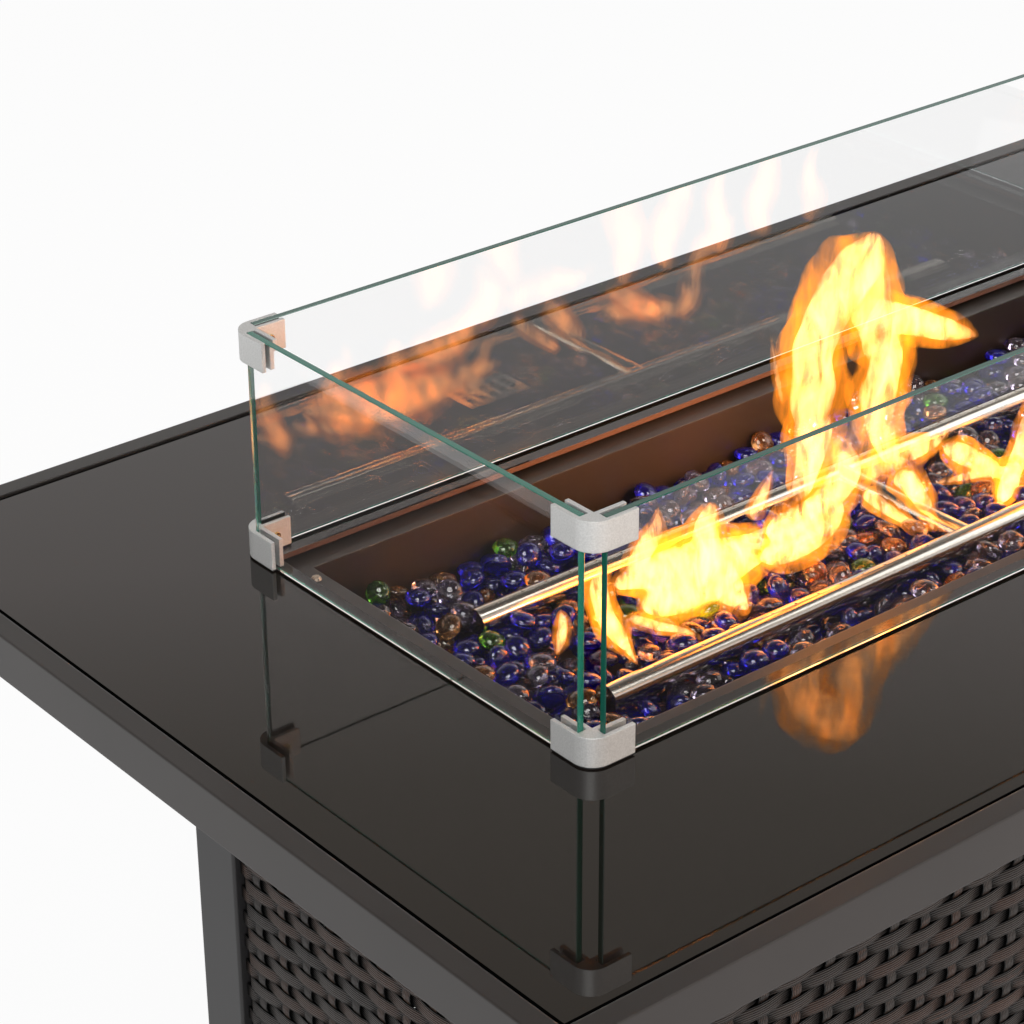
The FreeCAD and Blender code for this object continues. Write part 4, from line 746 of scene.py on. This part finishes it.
def flame_gas(name, strength, tint, thin, full, stopping):
    """Glowing gas, brightest near the burner; strength and stopping are per metre of depth."""
    material, tree, shader = finish_tree(name)
    tree.nodes.remove(shader)
    licks = noise(tree, FLAME_GRAIN, detail=4.0, rough=0.62, stretch=FLAME_STRETCH)
    licks.inputs["Distortion"].default_value = FLAME_TWIST
    streak = ramp(tree, licks, "Fac", [(thin, 0.03), (full, 1.0)])
    heat = ramp(tree, split_place(tree), "Z", [(HOT_BELOW, 1.0), (COOL_ABOVE, COOL_SHARE)])
    hot = combine(tree, "MULTIPLY", streak, "Color", heat, "Color")
    level = calculate(tree, "MULTIPLY", hot, "Value", strength)
    glow = add_node(tree, "ShaderNodeEmission", {"Color": (*tint, 1.0)})
    wire(tree, level, "Value", glow, "Strength")
    density = calculate(tree, "MULTIPLY", hot, "Value", stopping)
    dimming = add_node(tree, "ShaderNodeVolumeAbsorption", {"Color": (*FLAME_FILTER, 1.0)})
    wire(tree, density, "Value", dimming, "Density")
    total = add_node(tree, "ShaderNodeAddShader")
    wire(tree, glow, "Emission", total, 0)
    wire(tree, dimming, "Volume", total, 1)
    wire(tree, total, "Shader", tree.nodes["Material Output"], "Volume")
    material.cycles.volume_step_rate = 0.1
    return material


def camera_axes():
    """Where the photograph's camera looks, and its right and top, in the table's directions."""
    forward = Vector((math.sin(-CAMERA_YAW) * math.cos(CAMERA_PITCH),
                      math.cos(CAMERA_YAW) * math.cos(CAMERA_PITCH), math.sin(CAMERA_PITCH)))
    level = forward.cross(Vector((0, 0, 1))).normalized()
    up = level.cross(forward)
    c, s = math.cos(CAMERA_ROLL), math.sin(CAMERA_ROLL)
    return forward, c * level + s * up, -s * level + c * up


def picked_place(zoom_x, zoom_y, half_width, depth):
    """Place and radius in mm of a picked spot at the given depth, or on the bed if it would lie below."""
    forward, right, top = camera_axes()
    focal = CAMERA_LENS / CAMERA_SENSOR * PHOTO_SIZE
    from_middle_x = ZOOM_LEFT + zoom_x / ZOOM_SCALE - PHOTO_SIZE / 2
    from_middle_y = ZOOM_TOP + zoom_y / ZOOM_SCALE - PHOTO_SIZE / 2
    ray = (forward + right * from_middle_x / focal - top * from_middle_y / focal).normalized()
    reach = (depth * MM - CAMERA_PLACE.y) / ray.y
    if CAMERA_PLACE.z + ray.z * reach < FLAME_FLOOR:
        reach = (FLAME_FLOOR - CAMERA_PLACE.z) / ray.z
    spot = (CAMERA_PLACE + ray * reach) / MM
    return spot.x, spot.y, spot.z, half_width / ZOOM_SCALE * reach / focal / MM


def flame_routes():
    """Places along every tongue, with its radius there, in mm."""
    picked = [[picked_place(*spot, depth) for spot in spots] for depth, spots in PICKED_TONGUES.values()]
    return picked + list(PLACED_TONGUES.values())


def smooth_path(points, count):
    """A smooth curve that runs through all the given points, each of four numbers."""
    ends = [points[0], *points, points[-1]]
    path = []
    for k in range(count):
        place = k / (count - 1) * (len(points) - 1)
        i = min(int(place), len(points) - 2)
        t = place - i
        a, b, c, d = ends[i:i + 4]
        path.append([0.5 * (2 * q + (r - p) * t + (2 * p - 5 * q + 4 * r - s) * t * t
                            + (3 * q - p - 3 * r + s) * t ** 3) for p, q, r, s in zip(a, b, c, d)])
    return path


def add_tongue(bm, points, seed, share):
    """A slightly flattened and wavy tube along the points of one tongue, still open at both ends."""
    steps = max(FEWEST_STEPS, STEPS_PER_PLACE * len(points))
    path = smooth_path(points, steps)
    verts = bmesh.ops.create_grid(bm, x_segments=TONGUE_SIDES, y_segments=steps - 1, size=0.5)["verts"]
    for vert in verts:
        turn = (vert.co.x + 0.5) * math.tau
        step = min(steps - 1, round((vert.co.y + 0.5) * (steps - 1)))
        x, y, z, radius = path[step]
        low, high = path[max(0, step - 1)], path[min(steps - 1, step + 1)]
        along = Vector((high[0] - low[0], high[1] - low[1], high[2] - low[2])).normalized()
        side = along.cross(LEVEL_VIEW).normalized()
        deep = side.cross(along)
        cap = min(1.0, TIP_SHARE + TIP_GROWTH * min(step, steps - 1 - step))
        sample = Vector((RIPPLE_ROUND * math.cos(turn), RIPPLE_ROUND * math.sin(turn),
                         z * RIPPLE_UP + seed * RIPPLE_SHIFT))
        wave = 1.0 + RIPPLE * turbulence.noise(sample)
        reach = max(radius * share, THINNEST) * cap * wave
        spot = Vector((x, y, z)) + reach * (math.cos(turn) * side + TONGUE_DEPTH * math.sin(turn) * deep)
        vert.co = spot * MM
    bmesh.ops.remove_doubles(bm, verts=verts, dist=0.05 * MM)


def make_flames():
    """A wide orange flame and a narrow bright one inside it."""
    orange = flame_gas("flame_orange", strength=165.0, tint=(1.0, 0.29, 0.016),
                       thin=0.40, full=0.66, stopping=110.0)
    yellow = flame_gas("flame_yellow", strength=520.0, tint=(1.0, 0.50, 0.22),
                       thin=0.42, full=0.66, stopping=40.0)
    for name, share, finish in (("flame_mantle", 1.16, orange), ("flame_core", 0.66, yellow)):
        bm = bmesh.new()
        for seed, points in enumerate(flame_routes()):
            add_tongue(bm, points, seed, share)
        bmesh.ops.holes_fill(bm, edges=[e for e in bm.edges if e.is_boundary])
        skin = stand(name, mesh_of(name, bm, finish))
        union = skin.modifiers.new("one_skin", "REMESH")
        union.mode, union.voxel_size, union.use_smooth_shade = "VOXEL", SKIN_GRID, True
        calm = skin.modifiers.new("calm", "SMOOTH")
        calm.iterations = SKIN_SMOOTHING


# Stage

def seen_rays(tree):
    """A light path node, and a value that is 1 for what the eye sees, straight, in glass or in a mirror."""
    rays = add_node(tree, "ShaderNodeLightPath")
    seen = combine(tree, "MAXIMUM", rays, "Is Camera Ray", rays, "Is Transmission Ray")
    return rays, combine(tree, "MAXIMUM", seen, "Value", rays, "Is Glossy Ray")


def white_backdrop(name):
    """Nearly plain white to the eye and in glass and metal, and a matt floor for the lamps."""
    material, tree, shader = finish_tree(name)
    set_sockets(shader, colour=FLOOR_GREY, roughness=0.9, specular=0.0)
    _, seen = seen_rays(tree)
    share = calculate(tree, "MULTIPLY", seen, "Value", BACKDROP_SHARE)
    white = add_node(tree, "ShaderNodeEmission", {"Color": (*WHITE, 1.0), "Strength": 1.0})
    mixer = add_node(tree, "ShaderNodeMixShader")
    wire(tree, share, "Value", mixer, 0)
    wire(tree, shader, "BSDF", mixer, 1)
    wire(tree, white, "Emission", mixer, 2)
    wire(tree, mixer, "Shader", tree.nodes["Material Output"], "Surface")
    return material


def make_floor():
    bm = bmesh.new()
    bmesh.ops.create_grid(bm, x_segments=1, y_segments=1, size=FLOOR_SIZE)
    floor = stand("floor", mesh_of("floor", bm, white_backdrop("floor_white")))


def make_studio():
    """An even white light all round, and what the eye and mirrors see of it."""
    world = bpy.data.worlds.new("studio")
    bpy.context.scene.world = world
    world.use_nodes = True
    tree = world.node_tree
    base = tree.nodes["Background"]
    base.inputs["Color"].default_value = (*WHITE, 1.0)
    base.inputs["Strength"].default_value = STUDIO_LIGHT
    bright = add_node(tree, "ShaderNodeBackground", {"Color": (*WHITE, 1.0), "Strength": 1.0})
    rays, seen = seen_rays(tree)
    mixer = add_node(tree, "ShaderNodeMixShader")
    wire(tree, seen, "Value", mixer, 0)
    wire(tree, base, "Background", mixer, 1)
    wire(tree, bright, "Background", mixer, 2)
    wire(tree, mixer, "Shader", tree.nodes["World Output"], "Surface")
    # In mirror-like surfaces the studio gets darker and warmer towards its ceiling, where soft boxes hang.
    view = add_node(tree, "ShaderNodeTexCoord")
    split = add_node(tree, "ShaderNodeSeparateXYZ")
    wire(tree, view, "Generated", split, "Vector")
    wall = ramp(tree, split, "Z", STUDIO_WALL)
    boxes = []
    for direction, width in SOFT_BOXES:
        aim = add_node(tree, "ShaderNodeVectorMath", operation="DOT_PRODUCT")
        wire(tree, view, "Generated", aim, 0)
        aim.inputs[1].default_value = Vector(direction).normalized()
        boxes.append(ramp(tree, aim, "Value", [(width, 0.0), (width + SOFT_BOX_BLUR, 1.0)]))
    soft_box = combine(tree, "MAXIMUM", boxes[0], "Color", boxes[1], "Color")
    lit = add_node(tree, "ShaderNodeMix", data_type="RGBA", clamp_result=False)
    wire(tree, soft_box, "Value", lit, "Factor")
    wire(tree, wall, "Color", lit, "A")
    lit.inputs["B"].default_value = (*SOFT_BOX_LIGHT, 1.0)
    shown = mix_colours(tree, rays, "Is Glossy Ray", WHITE, WHITE)
    wire(tree, lit, "Result", shown, "B")
    wire(tree, shown, "Result", bright, "Color")


def add_lamp(name, place, target, width, watts, colour=WHITE, mirrored=True):
    """A square lamp that faces its target; without mirrored, its shape is hidden from glossy rays."""
    lamp = bpy.data.lights.new(name, "AREA")
    lamp.size, lamp.energy, lamp.color = width, watts, colour
    item = stand(name, lamp)
    item.location = place
    item.rotation_euler = (Vector(target) - Vector(place)).to_track_quat("-Z", "Y").to_euler()
    item.visible_glossy = mirrored


def add_fire_glow():
    """The warm light that the flames throw on the pan round them."""
    for name, place, watts in FIRE_LAMPS:
        lamp = bpy.data.lights.new(name, "POINT")
        lamp.energy, lamp.color, lamp.shadow_soft_size = watts, FIRE_COLOUR, FIRE_LAMP_RADIUS
        item = stand(name, lamp)
        item.location = place
        item.visible_glossy = item.visible_transmission = item.visible_camera = False


def make_camera():
    forward, right, top = camera_axes()
    lens = bpy.data.cameras.new("photo_view")
    lens.lens, lens.sensor_width, lens.sensor_fit = CAMERA_LENS, CAMERA_SENSOR, "HORIZONTAL"
    lens.clip_start, lens.clip_end = CAMERA_NEAR, CAMERA_FAR
    camera = stand("photo_view", lens)
    frame_axes = Matrix((right, top, -forward)).transposed().to_4x4()
    camera.matrix_world = Matrix.Translation(CAMERA_PLACE) @ frame_axes
    bpy.context.scene.camera = camera


finishes = dress_cad_nodes()
make_wicker(finishes["wicker_resin"])
make_beads()
make_flames()
make_floor()
make_studio()
add_lamp("key", place=(-2.9, -2.3, 2.0), target=(0, 0, 0.5), width=2.2, watts=86.0)
add_lamp("fill", place=(3.0, -1.2, 2.7), target=(0, 0, 0.5), width=2.0, watts=29.0)
add_lamp("front", place=(1.7, -3.3, 1.1), target=(0, 0, 0.4), width=1.0, watts=88.0,
         colour=(1.0, 0.70, 0.50), mirrored=False)
add_fire_glow()
make_camera()
bpy.context.scene.view_settings.view_transform = "Standard"
